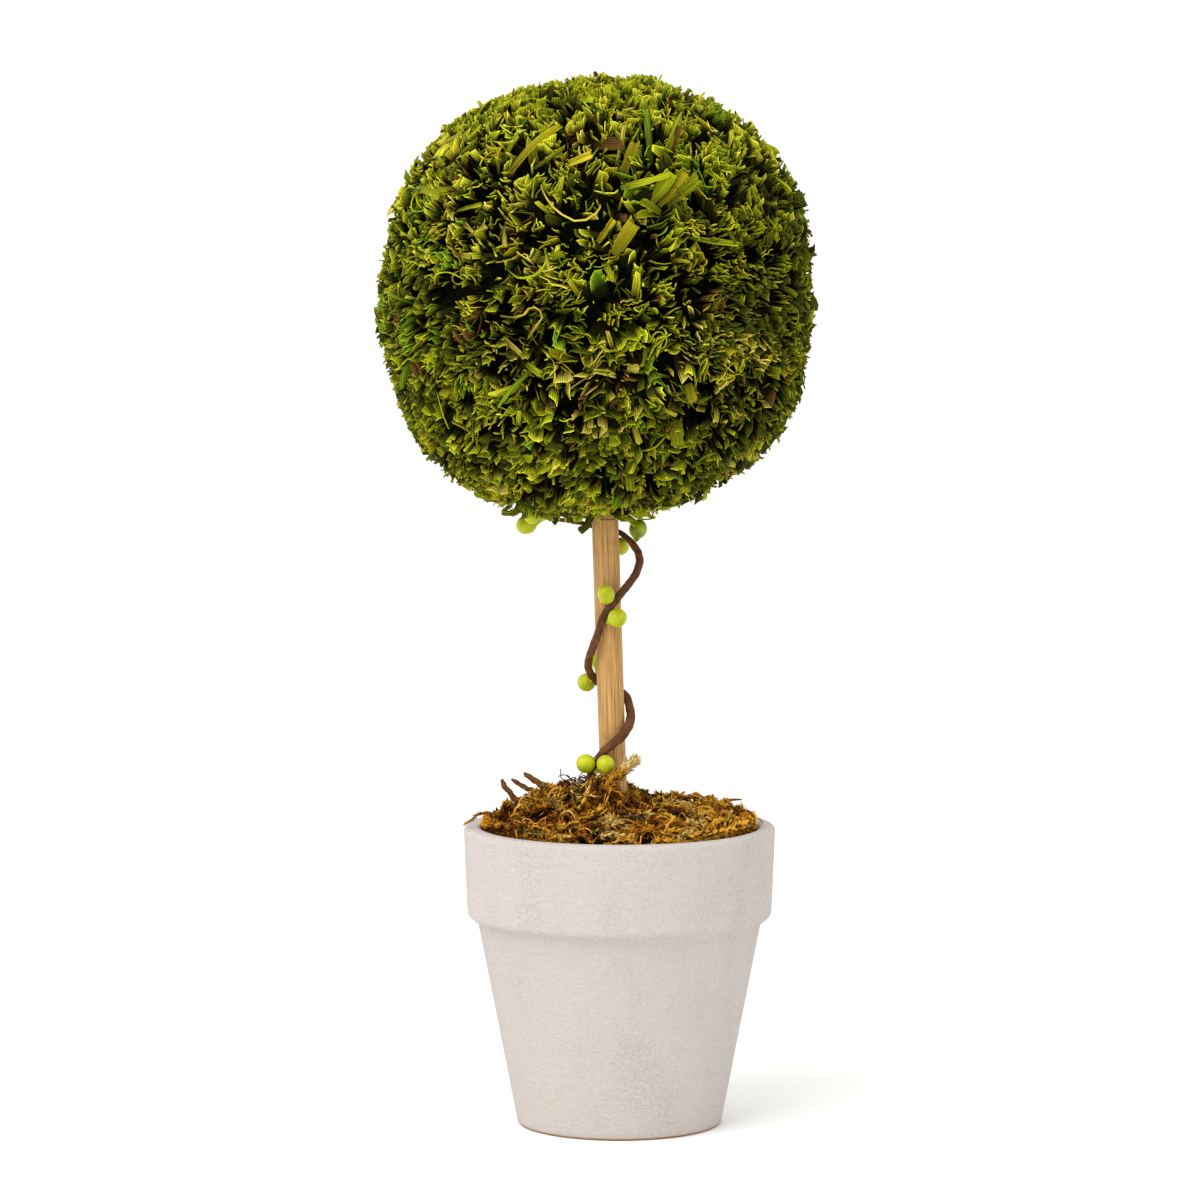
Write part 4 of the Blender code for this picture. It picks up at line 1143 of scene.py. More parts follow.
class TOPIARY_OT_ball_core(Operator):
    """Makes the core of packed leaf that shows in the gaps, painted near black as shade"""

    bl_idname = "topiary.ball_core"
    bl_label = "Ball core"

    def execute(self, context):
        settings = context.scene.topiary_ball
        ball = Ball(settings)
        bm = bmesh.new()
        bmesh.ops.create_icosphere(bm, subdivisions=5, radius=1)
        ways = np.array([vert.co.normalized() for vert in bm.verts])
        reach = ball.reach(ways)
        for vert, way, radius in zip(bm.verts, ways, reach):
            way = Vector(way)
            lump = 1.2 * MM * noise.noise(way * 14)
            vert.co = Vector(ball.centre) + way * (radius - settings.core_depth + lump)
        finish = dark_core("packed_leaf", settings.core)
        add_piece("leaf_ball_core", mesh_of(bm, "core"), [finish], "dried_leaf", "leaf_ball")
        return {"FINISHED"}


class TOPIARY_OT_ball_strips(Operator):
    """Makes the leaf strips of the ball, joined by colour"""

    bl_idname = "topiary.ball_strips"
    bl_label = "Ball strips"

    def execute(self, context):
        settings = context.scene.topiary_ball
        ball = Ball(settings)
        rng = np.random.default_rng(41)
        names = ("deep", "leaf", "fresh", "green", "olive", "lime", "straw", "umber", "gold")
        colors = [getattr(settings, name) for name in names]
        finishes = [dried_leaf(f"dried_leaf_{name}", color) for name, color in zip(names, colors)]
        # Cut ends are paler: partly their own pale cut, partly painted highlight.
        cuts = [dried_leaf(f"cut_edge_{name}", shade(color, 1.35), 0.15)
                for name, color in zip(names, colors)]
        balls = keepout_balls()
        # Name, middle lines and look, points across, and how much both ends taper.
        kinds = (
            ("packed", self.grow(ball, self.packed(settings, rng), settings, rng, 2), 5, 0),
            ("open", self.grow(ball, self.clumps(settings, rng), settings, rng, 4), 4, 0),
            ("shred", self.grow(ball, self.shreds(settings, rng), settings, rng, 3), 3, 0.3),
            ("loose", self.loose(ball, settings, rng), 5, 0.25),
            ("laid", self.laid(ball, settings, names, rng), 5, 0.25),
            ("thread", self.threads(ball, settings, rng), 3, 0.3),
        )
        for kind, (path, look), points, taper in kinds:
            made, marks = strip_points(path, look, points, taper)
            made[:, -1] = self.cut(ball, path, made[:, -1], look, points, rng)
            # Nothing stands proud of the clipped surface, apart from a strip here and there.
            distance = np.linalg.norm(made, axis=-1)
            reach = ball.reach(made / distance[..., None]) + look["proud"][:, None, None]
            made *= (np.minimum(distance, reach) / distance)[..., None]
            made += ball.centre
            free = clear_of(made[:, :, ::3].reshape(len(made), -1, 3), balls, 0.2 * MM)
            rings = path.shape[1]
            for number, name in enumerate(names):
                mine = free & (look["colour"] == number)
                if not mine.any():
                    continue
                quads, ends = strip_quads(int(mine.sum()), rings, points)
                data = joined_mesh(name, made[mine], quads, marks[mine], ends)
                add_piece(f"leaf_{kind}_{name}", data, [finishes[number], cuts[number]],
                          "dried_leaf", "leaf_ball")
        return {"FINISHED"}

    def openness(self, ways):
        """How likely each place is to have open blades, and not packed strips, from 0 to 1."""
        field = drift(ways, 2.4, (3.3, 8.1, 1))
        back = 0.55 + 1.1 * field
        front = 0.88 - 0.85 * patch(ways, 0.70, 0.08, 0.26, 0.34)
        front -= 0.85 * patch(ways, -0.80, -0.40, 0.26, 0.36)
        front -= (0.5 * patch(ways, 0.58, 0.66, 0.2, 0.2)
                  + 0.5 * patch(ways, -0.86, 0.16, 0.16, 0.2))
        front += 0.5 * field
        share = np.clip(0.5 - 2 * ways[:, 1], 0, 1)
        return np.clip(front * share + back * (1 - share), 0, 1)

    def coarseness(self, ways):
        """How broad and far apart the blades are, from 0 to 1: most so on the upper front."""
        front = patch(ways, 0.02, 0.40, 0.62, 0.42) * np.clip(-1.6 * ways[:, 1], 0, 1)
        return np.clip(0.22 + 0.75 * drift(ways, 2.1, (6.1, 2.2, 4)) + 0.8 * front, 0, 1)

    def colours(self, ways, rng, own):
        """A colour for each place: greens all over, with straw and umber in a few patches.
        Brighter colours high up and at the left are painted light, and darker ones on the right
        and low down are painted shade."""
        count = len(ways)
        # The chance of each colour, in the order of their names, high up, at the left and low.
        high = rng.choice(9, count, p=(0.04, 0.16, 0.28, 0.06, 0.11, 0.30, 0.02, 0.015, 0.015))
        left = rng.choice(9, count, p=(0.17, 0.30, 0.20, 0.22, 0.03, 0.05, 0.01, 0.02, 0))
        low = rng.choice(9, count, p=(0.35, 0.24, 0.13, 0.04, 0.15, 0.04, 0.015, 0.035, 0))
        # Painted light: the left side takes the brighter colours, the rest the darker low ones.
        sunny = -0.46 - 1.7 * ways[:, 0] + 0.8 * np.minimum(ways[:, 2], 0)
        plain = np.where(rng.uniform(0, 1, count) < sunny, left, low)
        # Painted light from above: the top, leaning to the left, takes the brightest colours.
        lean = np.maximum(ways[:, 2] - 0.4, 0) - 0.30
        painted_top_light = 0.36 + 1.05 * ways[:, 2] - 0.50 * np.abs(ways[:, 0] - lean)
        plain = np.where(rng.uniform(0, 1, count) < painted_top_light, high, plain)
        # Painted shade: the right side and the low left are dulled to deep and leaf green.
        dull = 1.6 * np.clip(ways[:, 0] - 0.2, 0, 0.5) * np.clip(1.3 - 1.4 * ways[:, 2], 0, 1)
        dull += 0.9 * np.clip(-0.3 - ways[:, 0], 0, 0.5) * np.clip(-2 * ways[:, 2], 0, 1)
        painted_shade_mask = rng.uniform(0, 1, count) < dull
        plain[painted_shade_mask] = rng.choice((0, 1), painted_shade_mask.sum(), p=(0.65, 0.35))
        faded = patch(ways, -0.55, 0.28, 0.22, 0.16) + patch(ways, 0.55, -0.32, 0.25, 0.18)
        faded += patch(ways, -0.1, -0.28, 0.5, 0.1) * 0.6
        faded *= np.clip(-ways[:, 1], 0, 1)
        faded += np.clip(drift(ways, 3.1, (1.7, 5.3, 9)) - 0.22, 0, 1) * 1.6
        pale = rng.uniform(0, 1, count) < own * faded
        plain[pale] = rng.choice((4, 5, 6, 7), pale.sum(), p=(0.20, 0.14, 0.52, 0.14))
        return plain

    def leans(self, ways, rise, level, rng, spread):
        """How far strips at these places lean off the way out: a slow drift and a spread."""
        low, high = np.clip(0.15 - ways[:, 2], 0, 1), np.clip(ways[:, 2] - 0.15, 0, 0.6)
        aside = rng.normal(0, 1, len(ways)) * spread + 0.8 * drift(ways, 2.6, (0, 3, 1))
        upward = rng.normal(0, 1, len(ways)) * spread + 0.6 * drift(ways, 2.6, (7.7, 3, 1))
        upward += 0.35 * high - 0.42 * low
        return level * aside[:, None] + rise * upward[:, None]

    def packed(self, settings, rng):
        """Packed strips: rows and columns in each tuft, as far as the next tuft."""
        ways = directions(settings.tufts, rng, 0.35 / math.sqrt(settings.tufts))
        shut = rng.uniform(0, 1, len(ways)) >= self.openness(ways)
        count = len(ways)
        level, rise = tangents(ways)
        lean = self.leans(ways, rise, level, rng, 0.20)
        roll = np.where(rng.uniform(0, 1, count) < 0.3, rng.uniform(0, math.pi, count),
                        rng.normal(0, 0.55, count))[:, None]
        side, stack = turned(level, rise, roll), turned(rise, -level, roll)
        width = rng.uniform(2.1, 4.6, count) * MM
        pitch = rng.uniform(1.05, 1.9, count) * MM
        colour = self.colours(ways, rng, 0.6)
        sink = np.abs(rng.normal(0, 1.1, count)) * MM
        deep = rng.uniform(0, 1, count) < 0.12
        sink[deep] += rng.uniform(1.5, 4.5, deep.sum()) * MM
        curl = rng.choice((-1, 1), count) * rng.uniform(0, 1.8, count)
        wave = rng.uniform(0, 0.8, count)
        phase = rng.uniform(0, 1, count)
        tree = KDTree(count)
        for index, way in enumerate(ways):
            tree.insert(way, index)
        tree.balance()
        seats, owners = [], []
        reach = 7 * MM
        for index in np.flatnonzero(shut):
            rows = int(reach / pitch[index])
            columns = int(reach / width[index]) + 1
            for row in range(-rows, rows + 1):
                shift = rng.uniform(0, 1)
                for column in range(-columns, columns + 1):
                    a = (column + shift) * width[index] * 1.04 + rng.normal(0, 0.2) * MM
                    b = row * pitch[index] + rng.normal(0, 0.16) * MM
                    place = ways[index] + (side[index] * a + stack[index] * b) / SEAT_RADIUS
                    place = place / np.linalg.norm(place)
                    if tree.find(place)[1] == index:
                        seats.append(place)
                        owners.append(index)
        seats, owner = np.array(seats), np.array(owners)
        count = len(seats)
        off = np.linalg.norm(seats - ways[owner], axis=1) * SEAT_RADIUS
        own = rng.uniform(0, 1, count) < 0.45
        return {
            "way": seats, "open": 0.0,
            "aim": seats + lean[owner] + rng.normal(0, 0.08, (count, 3)),
            "sink": sink[owner] + np.abs(rng.normal(0, 0.75, count)) * MM
            + 0.9 * MM * (off / (4 * MM)) ** 2,
            "colour": np.where(own, self.colours(seats, rng, 0.6), colour[owner]),
            "side": side[owner] + rng.normal(0, 0.16, (count, 3)),
            "width": width[owner] * rng.uniform(0.7, 1.15, count),
            "curl": curl[owner] + rng.normal(0, 0.8, count),
            "wave": wave[owner] * rng.uniform(0.6, 1.4, count),
            "phase": phase[owner] + rng.normal(0, 0.08, count),
            "twist": rng.normal(0, 0.25, count),
            "length": rng.uniform(10, 13, count) * MM,
            "proud": (rng.uniform(0, 1, count) < 0.06) * rng.uniform(0, 1.5, count) * MM,
        }

    def clumps(self, settings, rng):
        """Open blades: clumps of two to five that fan out from one root."""
        ways = directions(settings.clumps, rng, 0.6 / math.sqrt(settings.clumps))
        coarse = self.coarseness(ways)
        kept = rng.uniform(0, 1, len(ways)) < self.openness(ways) / (1 + 0.75 * coarse)
        ways, coarse = ways[kept], coarse[kept]
        count = len(ways)
        level, rise = tangents(ways)
        lean = self.leans(ways, rise, level, rng, 0.32 + 0.32 * coarse)
        lower = np.clip(0.3 - 1.5 * ways[:, 2], 0, 1)
        roll = np.where(rng.uniform(0, 1, count) < 0.2 + 0.3 * coarse,
                        rng.uniform(0, math.pi, count),
                        rng.normal(0, 0.55 - 0.2 * lower))[:, None]
        side, stack = turned(level, rise, roll), turned(rise, -level, roll)
        width = rng.lognormal(1.0, 0.38, count) * (1 + 0.55 * coarse + 0.25 * lower)
        width = np.clip(width, 1.3, 6.8) * MM
        pitch = rng.uniform(0.75, 1.7, count) * (1 + 0.6 * coarse + 0.35 * lower) * MM
        fan = rng.normal(0.07, 0.06, count)
        colour = self.colours(ways, rng, 0.7)
        sink = np.abs(rng.normal(0, 1.2, count)) * MM
        full = np.exp(-((ways[:, 0] + 0.2) / 0.45) ** 2 - ((ways[:, 2] - 0.35) / 0.3) ** 2)
        deep = rng.uniform(0, 1, count) < 0.34 + 0.1 * coarse - 0.25 * full
        sink[deep] += rng.uniform(1.5, 6.0, deep.sum()) * MM * (1 + 0.2 * coarse[deep])
        curl = rng.normal(0, 0.8, count)
        fold = np.where(rng.uniform(0, 1, count) < 0.25, rng.normal(0, 0.5, count), 0)
        phase = rng.uniform(0, 1, count)
        each = rng.integers(2, 6, count)
        owner = np.repeat(np.arange(count), each)
        row = np.concatenate([np.arange(n) - (n - 1) / 2 for n in each])
        count = len(owner)
        shift = stack[owner] * (row * pitch[owner])[:, None]
        shift += side[owner] * rng.normal(0, 0.7, (count, 1)) * MM
        seats = unit(ways[owner] + shift / SEAT_RADIUS)
        own = rng.uniform(0, 1, count) < 0.45
        return {
            "way": seats, "open": rng.uniform(0, 1, len(ways))[owner][:, None],
            "aim": seats + lean[owner] + stack[owner] * (row * fan[owner])[:, None]
            + rng.normal(0, 0.09, (count, 3)),
            "sink": sink[owner] + np.abs(rng.normal(0, 1.0, count)) * MM,
            "colour": np.where(own, self.colours(seats, rng, 0.7), colour[owner]),
            "side": side[owner] + rng.normal(0, 0.15, (count, 3)),
            "width": width[owner] * rng.uniform(0.65, 1.15, count),
            "curl": curl[owner] + rng.normal(0, 0.4, count),
            "wave": rng.uniform(0, 0.5, count),
            "fold": fold[owner] + rng.normal(0, 0.05, count),
            "phase": phase[owner] + rng.normal(0, 0.3, count),
            "twist": rng.normal(0, 0.6, count),
            "bend": rng.normal(0, 0.3, (count, 3)),
            "length": rng.uniform(13, 17, count) * MM,
            "proud": (rng.uniform(0, 1, count) < 0.09) * rng.uniform(0, 1.8, count) * MM,
        }

    def shreds(self, settings, rng):
        """Torn shreds that stick out between the blades at all angles."""
        ways = directions(settings.shreds, rng, 1 / math.sqrt(settings.shreds))
        count = len(ways)
        turn = rng.uniform(0, math.pi, count)[:, None]
        return {
            "way": ways, "open": 1.0, "aim": ways + rng.normal(0, 0.45, (count, 3)),
            "sink": np.abs(rng.normal(0, 1.5, count)) * MM,
            "colour": self.colours(ways, rng, 0.4),
            "side": turned(*tangents(ways), turn),
            "width": rng.uniform(0.6, 1.8, count) * MM, "curl": rng.normal(0, 0.9, count),
            "phase": rng.uniform(0, 1, count), "twist": rng.normal(0, 1.2, count),
            "bend": rng.normal(0, 0.5, (count, 3)), "length": rng.uniform(5, 9, count) * MM,
            "proud": (rng.uniform(0, 1, count) < 0.12) * rng.uniform(0, 1.2, count) * MM,
        }

    def grow(self, ball, seats, settings, rng, rings):
        """The middle lines of the strips: from inside the core to the clipped surface."""
        ways = seats["way"]
        count = len(ways)
        aim = unit(seats["aim"])
        # None leans further than about 65 degrees from the way out.
        short = np.maximum(0, 0.42 - np.sum(aim * ways, axis=1))
        aim = unit(aim + ways * short[:, None])
        path = np.empty((count, rings, 3))
        path[:, -1] = ways * (ball.reach(ways) - seats["sink"])[:, None]
        for ring in range(rings - 2, -1, -1):
            share = (ring + 0.5) / (rings - 1)
            way = unit(ways * (1 - share) * seats["open"] + aim * (0.15 + share)
                       + seats.get("bend", 0.0) * share ** 2)
            path[:, ring] = path[:, ring + 1] - way * (seats["length"] / (rings - 1))[:, None]
        thick = np.full(count, settings.thickness) * rng.uniform(0.8, 1.3, count)
        uneven = np.linspace(0.7, 1.12, rings) + rng.normal(0, 0.08, (count, rings))
        return path, {**seats, "thick": thick, "uneven": uneven}

    def cut(self, ball, path, tips, look, points, rng):
        """The tips' points, cut on the clipped surface and not quite clean."""
        count = len(path)
        ragged = np.abs(rng.normal(0, 0.28, (count, points))) * MM
        slant = rng.normal(0, 0.34, (count, 1)) * np.linspace(-0.5, 0.5, points)
        ragged += (slant - slant.min(axis=1, keepdims=True)) * look["width"][:, None]
        ragged = np.concatenate((ragged, ragged[:, ::-1]), axis=1)
        onward = np.repeat(unit(path[:, -1] - path[:, -2])[:, None], 2 * points, axis=1)
        if "sink" not in look:
            return tips - onward * ragged[..., None]
        most = 0.9 * look["width"][:, None]
        inset = look["sink"][:, None] + ragged - look["proud"][:, None]
        return ball.clip(tips, onward, inset, most)

    def along_surface(self, ball, ways, tangent, length, depth):
        """Lines that run this length over the ball from places on it, at given depths."""
        rings = depth.shape[1]
        turn = np.linspace(0, 1, rings)[None] * (length / LYING_RADIUS)[:, None]
        places = (ways[:, None] * np.cos(turn)[..., None]
                  + tangent[:, None] * np.sin(turn)[..., None])
        return places * (ball.reach(places) - depth)[..., None]

    def loose(self, ball, settings, rng):
        """Loose blades that lie over the others with a face to the light."""
        ways = directions(settings.loose, rng, 0.10)
        placed = np.array([self.outward(row[-1]) for row in LAID])
        far = np.linalg.norm(ways[:, None] - placed[None], axis=2).min(axis=1)
        bare = self.openness(ways) * (0.35 + 0.65 * self.coarseness(ways))
        ways = ways[(far > 0.09) & (rng.uniform(0, 1, len(ways)) < 1.4 * bare)]
        count = len(ways)
        heading = rng.uniform(0, 2 * math.pi, count)
        length = rng.uniform(4, 12, count) * MM
        width = rng.uniform(1.6, 4.8, count) * MM
        tilt = rng.normal(0, 0.8, count)
        level, rise = tangents(ways)
        tangent = turned(level, rise, heading[:, None])
        share = np.linspace(0, 1, 6)[None]
        depth = 5.0 * MM * (1 - share) ** 1.8 + 0.2 * MM + np.abs(np.sin(tilt))[:, None] * (
            0.35 * width[:, None])
        path = self.along_surface(ball, ways, tangent, length, depth)
        across = np.cross(ways, tangent)
        return path, {
            "side": turned(across, ways, tilt[:, None]),
            "width": width, "thick": np.full(count, settings.thickness),
            "curl": rng.normal(0, 1.5, count), "wave": rng.uniform(0, 0.9, count),
            "fold": rng.normal(0, 0.4, count), "phase": rng.uniform(0, 1, count),
            "twist": rng.normal(0, 0.8, count), "proud": np.full(count, 0.5 * MM),
            "uneven": 1 + rng.normal(0, 0.12, (count, 6)), "depth": depth * 0.9,
            "colour": self.colours(ways, rng, 0.7),
        }

    def outward(self, station):
        """The way out of the ball at a station on its front."""
        x, z = station[:2]
        return np.array((x, -math.sqrt(1 - x * x - z * z), z))

    def laid(self, ball, settings, names, rng):
        """The blades and curls that have a place, over the ball's front and below it."""
        rings = 10
        paths, depths, sides, rows = [], [], [], []
        for wide, name, roll, curl, flare, *stations in LAID:
            line = np.array(self.evenly(stations, rings))
            ways = np.array([self.outward(station) for station in line])
            paths.append(ways * (ball.reach(ways) - line[:, 2] * MM)[:, None])
            # How deep each point lies, which sets its painted shade.
            depths.append((np.maximum(line[:, 2], 0) * 1.1 + 0.5) * MM)
            rows.append((wide, name, roll, curl, flare, 1.5 * MM))
            sides.append((ways[rings // 2], paths[-1][-1] - paths[-1][0]))
        for wide, name, roll, curl, *stations in HUNG:
            line = np.array(self.evenly(stations, rings)) * MM - ball.centre
            paths.append(line)
            depths.append(np.linspace(3 * MM, 0.5 * MM, rings))
            rows.append((wide, name, roll, curl, 0, 15 * MM))
            sides.append((np.array((0, -1, 0)), line[-1] - line[0]))
        wide, name, roll, curl, flare, proud = zip(*rows)
        outward, along = (np.array(parts) for parts in zip(*sides))
        roll = np.radians(roll)[:, None]
        count = len(rows)
        return np.array(paths), {
            "side": turned(unit(np.cross(outward, along)), outward, roll),
            "width": np.array(wide) * MM, "thick": np.full(count, settings.thickness),
            "curl": 1.4 * np.array(curl), "wave": rng.uniform(0.3, 1.1, count),
            "fold": rng.normal(0, 0.3, count), "phase": rng.uniform(0, 1, count),
            "twist": rng.normal(0, 0.8, count), "proud": np.array(proud),
            "uneven": 1 + rng.normal(0, 0.10, (count, rings))
            + np.array(flare)[:, None] * np.linspace(-1, 0.6, rings), "depth": np.array(depths),
            "colour": np.array([names.index(each) for each in name]),
        }

    def evenly(self, stations, rings):
        """A smooth line through the stations, as this many evenly spaced points."""
        line = np.array([tuple(p) for p in smooth_route([Vector(s) for s in stations], 8)])
        spot = np.linspace(0, len(line) - 1, rings)
        return np.stack([np.interp(spot, np.arange(len(line)), part) for part in line.T], axis=1)

    def threads(self, ball, settings, rng):
        """Thin curled shreds, in arcs and loops over the strips."""
        ways = directions(settings.threads, rng, 0.12)
        count = len(ways)
        level, rise = tangents(ways)
        start = rng.uniform(0, 2 * math.pi, count)
        curve = rng.choice((-1, 1), count) * rng.uniform(1.5, 5.5, count)
        length = rng.uniform(7, 20, count) * MM
        low = rng.uniform(0.9, 2.6, count) * MM
        rings = 10
        path = np.empty((count, rings, 3))
        flat = np.zeros((count, 3))
        for ring in range(rings):
            share = ring / (rings - 1)
            turn = (start + curve * share)[:, None]
            places = unit(ways + flat / SEAT_RADIUS)
            depth = low + 3.0 * MM * (2 * share - 1) ** 4
            path[:, ring] = places * (ball.reach(places) - depth)[:, None]
            flat += turned(level, rise, turn) * (length / (rings - 1))[:, None]
        side = unit(ways + 0.5 * rng.normal(0, 1, (count, 3)))
        return path, {
            "side": side, "width": rng.uniform(0.5, 1.1, count) * MM,
            "thick": np.full(count, 0.3 * MM), "curl": rng.normal(0, 0.6, count),
            "phase": rng.uniform(0, 1, count), "twist": rng.normal(0, 0.8, count),
            "proud": np.zeros(count), "depth": np.full((count, rings), 1.2 * MM),
            "colour": self.colours(ways, rng, 0.7),
        }


class TOPIARY_OT_moss(Operator):
    """Makes the bed of dry moss, with its strands, loose fibres and hairs, joined by colour"""

    bl_idname = "topiary.moss"
    bl_label = "Moss"

    def execute(self, context):
        settings = context.scene.topiary_moss
        rng = np.random.default_rng(7)
        self.bed(settings)
        names = ("gold", "ochre", "straw", "brown")
        finishes = {name: dry_moss(f"dry_moss_{name}", getattr(settings, name), settings.under)
                    for name in names}
        groups = {name: [] for name in names}
        for path, radius, name in self.strands(settings, rng, names):
            groups[name].append(bristles(path, radius, rng, 11, (0.12, 0.6), (0.9, 1.9)))
        for name, strands in groups.items():
            points, marks = (np.concatenate(parts) for parts in zip(*strands))
            data = joined_mesh(name, points, np.arange(len(points)).reshape(-1, 4), marks)
            add_piece(f"moss_strands_{name}", data, [finishes[name]], "dry_moss", "moss_bed")
        for name, share in zip(names, (1.0, 0.6, 0.8, 0.8)):
            count = int(settings.fibres * share)
            self.ribbons(f"fibres_{name}", self.fibres(count, rng), 2, finishes[name])
        self.ribbons("hairs", self.hairs(rng), 3,
                     dry_moss("dry_hair", settings.hair, shade(settings.hair, 0.6)))
        return {"FINISHED"}

    def bed(self, settings):
        """The crumbs below the strands, dark brown and painted near black as the shade under them:
        a disc whose top follows the bed's height.
        """
        radius = inner_radius(FOAM_TOP) - 1.1 * GAP
        bm = bmesh.new()
        bmesh.ops.create_cone(
            bm, cap_ends=True, cap_tris=False, segments=72, depth=MOSS_LEVEL - FOAM_TOP - GAP,
            radius1=radius, radius2=radius,
            matrix=Matrix.Translation((0, 0, (MOSS_LEVEL + FOAM_TOP + GAP) / 2)),
        )
        top = max(bm.faces, key=lambda face: face.calc_center_median().z)
        for _ in range(23):
            bmesh.ops.inset_region(bm, faces=[top], thickness=radius / 24, use_even_offset=True)
        bmesh.ops.poke(bm, faces=[top])
        for vert in bm.verts:
            if vert.co.z > FOAM_TOP + 1 * MM:
                lump = 1.3 * MM * noise.noise(vert.co * 260)
                low = moss_top(vert.co.x, vert.co.y) - 1.5 * MM
                vert.co.z = max(MOSS_LEVEL - 2 * MM, low + lump)
        finish = dark_core("moss_crumbs", settings.bed)
        add_piece("moss_bed_crumbs", mesh_of(bm, "bed", smooth=False), [finish], "dry_moss",
                  "moss_bed")

    def strands(self, settings, rng, names):
        """The strands' middle lines, each with a radius and a colour."""
        for radius, name, *stations in PLACED_STRANDS:
            route = smooth_route([Vector(station) * MM for station in stations], 5)
            yield route, radius * MM, name
        edge = inner_radius(MOSS_LEVEL)
        turn = 0
        for strand in range(settings.strands):
            turn += GOLDEN
            for _ in range(20):
                radius = rng.uniform(1.4, 2.4) * MM
                reach = math.sqrt((strand + 0.5) / settings.strands) * (edge - 0.9 * radius)
                path = self.strand(rng, reach, turn, radius)
                if not self.leaves_the_pot(path, radius):
                    yield path, radius, rng.choice(names, p=(0.40, 0.27, 0.12, 0.21))
                    break
        # Two low ones close the gap along the front of the wall.
        for side, name in ((-1, "ochre"), (1, "gold")):
            turns = [math.radians(angle) for angle in range(0, -65, -8)]
            yield [Vector((side * 46.6 * math.cos(turn), 46.6 * math.sin(turn), 103.8)) * MM
                   for turn in turns], 1.6 * MM, name

    def strand(self, rng, reach, turn, radius):
        """A curled strand that rises from the bed, arches over and dips back towards it. Near
        the rim most strands run round it."""
        round_it = rng.uniform(0, 1) < (reach / inner_radius(MOSS_LEVEL)) ** 4
        run = rng.uniform(9, 20) * MM
        rise = rng.uniform(0.3, 4.0) * MM
        heading, curl = rng.uniform(0, 2 * math.pi), rng.uniform(-3.6, 3.6)
        path = []
        for step in range(10):
            t = step / 9
            if round_it:
                angle = turn + (t - 0.5) * run / reach
                inward = 1 - 0.03 * math.sin(math.pi * t)
                place = reach * inward * around(angle)
            else:
                way = heading + curl * (t - 0.5)
                place = reach * around(turn) + (t - 0.5) * run * around(way)
            place.z = moss_top(place.x, place.y) - 0.4 * radius
            place.z += rise * math.sin(math.pi * t) - 1.2 * MM * (2 * t - 1) ** 4
            path.append(place)
        return path

    def leaves_the_pot(self, path, radius):
        """Whether a strand would reach the pot's wall, the lip, the stick or the vine."""
        for place in path:
            reach = math.hypot(place.x, place.y) + 0.8 * radius
            over_lip = place.z - 0.7 * radius > POT_HEIGHT
            if reach > inner_radius(POT_HEIGHT) and not over_lip:
                return True
            if reach > RIM_RADIUS - 3.5 * MM:
                return True
            if (place - stick_axis(place.z)).length < STICK_RADIUS + 0.6 * radius:
                return True
        return False

    def ribbons(self, name, strips, points, finish):
        """Thin strips as one piece."""
        path, look = strips
        look["depth"] = np.full(path.shape[:2], 0.7 * MM)
        data = strip_mesh(name, path, look, points)
        add_piece(f"moss_{name}", data, [finish], "dry_moss", "moss_bed")

    def fibres(self, count, rng):
        """Loose fibres that arch and hook over the strands."""
        rings = 10
        paths = []
        while len(paths) < count:
            reach = math.sqrt(rng.uniform(0.02, 1)) * (inner_radius(MOSS_LEVEL) - 3 * MM)
            turn = rng.uniform(0, 2 * math.pi)
            place = around(turn, reach)
            heading = rng.uniform(0, 2 * math.pi)
            curl = rng.choice((-1, 1)) * rng.uniform(0.3, 3.4)
            run = rng.uniform(5, 16) * MM
            rise = rng.uniform(0.5, 2.8) * MM
            path = []
            for ring in range(rings):
                t = ring / (rings - 1)
                top = moss_top(place.x, place.y) + 1.0 * MM
                path.append(Vector((place.x, place.y, top + rise * math.sin(math.pi * t)
                                    - 2.5 * MM * (1 - t) ** 3)))
                place += run / (rings - 1) * around(heading + curl * t)
            if not self.leaves_the_pot(path, 0.8 * MM):
                paths.append(path)
        path = np.array(paths)
        return path, {
            "side": unit(rng.normal(0, 1, (count, 3)) + (0, 0, 0.4)),
            "width": rng.uniform(0.3, 0.75, count) * MM, "thick": np.full(count, 0.22 * MM),
            "curl": rng.normal(0, 1.4, count), "wave": rng.uniform(0, 0.3, count),
            "phase": rng.uniform(0, 1, count), "twist": rng.normal(0, 1.6, count),
        }

    def hairs(self, rng):
        """Thin dark hairs in a tangle left of the berries, and a few elsewhere."""
        count, tangled, rings = 40, 34, 12
        path = np.empty((count, rings, 3))
        for index in range(count):
            if index < tangled:
                place = Vector((-13.5 + rng.normal(0, 2.2), rng.uniform(-5, 3), 0)) * MM
            else:
                turn, reach = rng.uniform(0, 2 * math.pi), rng.uniform(12, 40) * MM
                place = around(turn, reach)
            place.z = moss_top(place.x, place.y) - 1 * MM
            way = Vector((rng.normal(-0.3, 0.4), rng.normal(0, 0.3), rng.uniform(0.7, 1.2)))
            run = rng.uniform(9, 16) * MM * (1 if index < tangled else 0.4)
            for ring in range(rings):
                path[index, ring] = place
                way = (way + Vector(rng.normal(0, 0.42, 3)) - Vector((0, 0, 0.10))).normalized()
                place = place + way * run / rings
        return path, {
            "side": np.tile((0.0, 1.0, 0.0), (count, 1)),
            "width": np.full(count, 0.45 * MM), "thick": np.full(count, 0.35 * MM),
            "phase": rng.uniform(0, 1, count),
        }


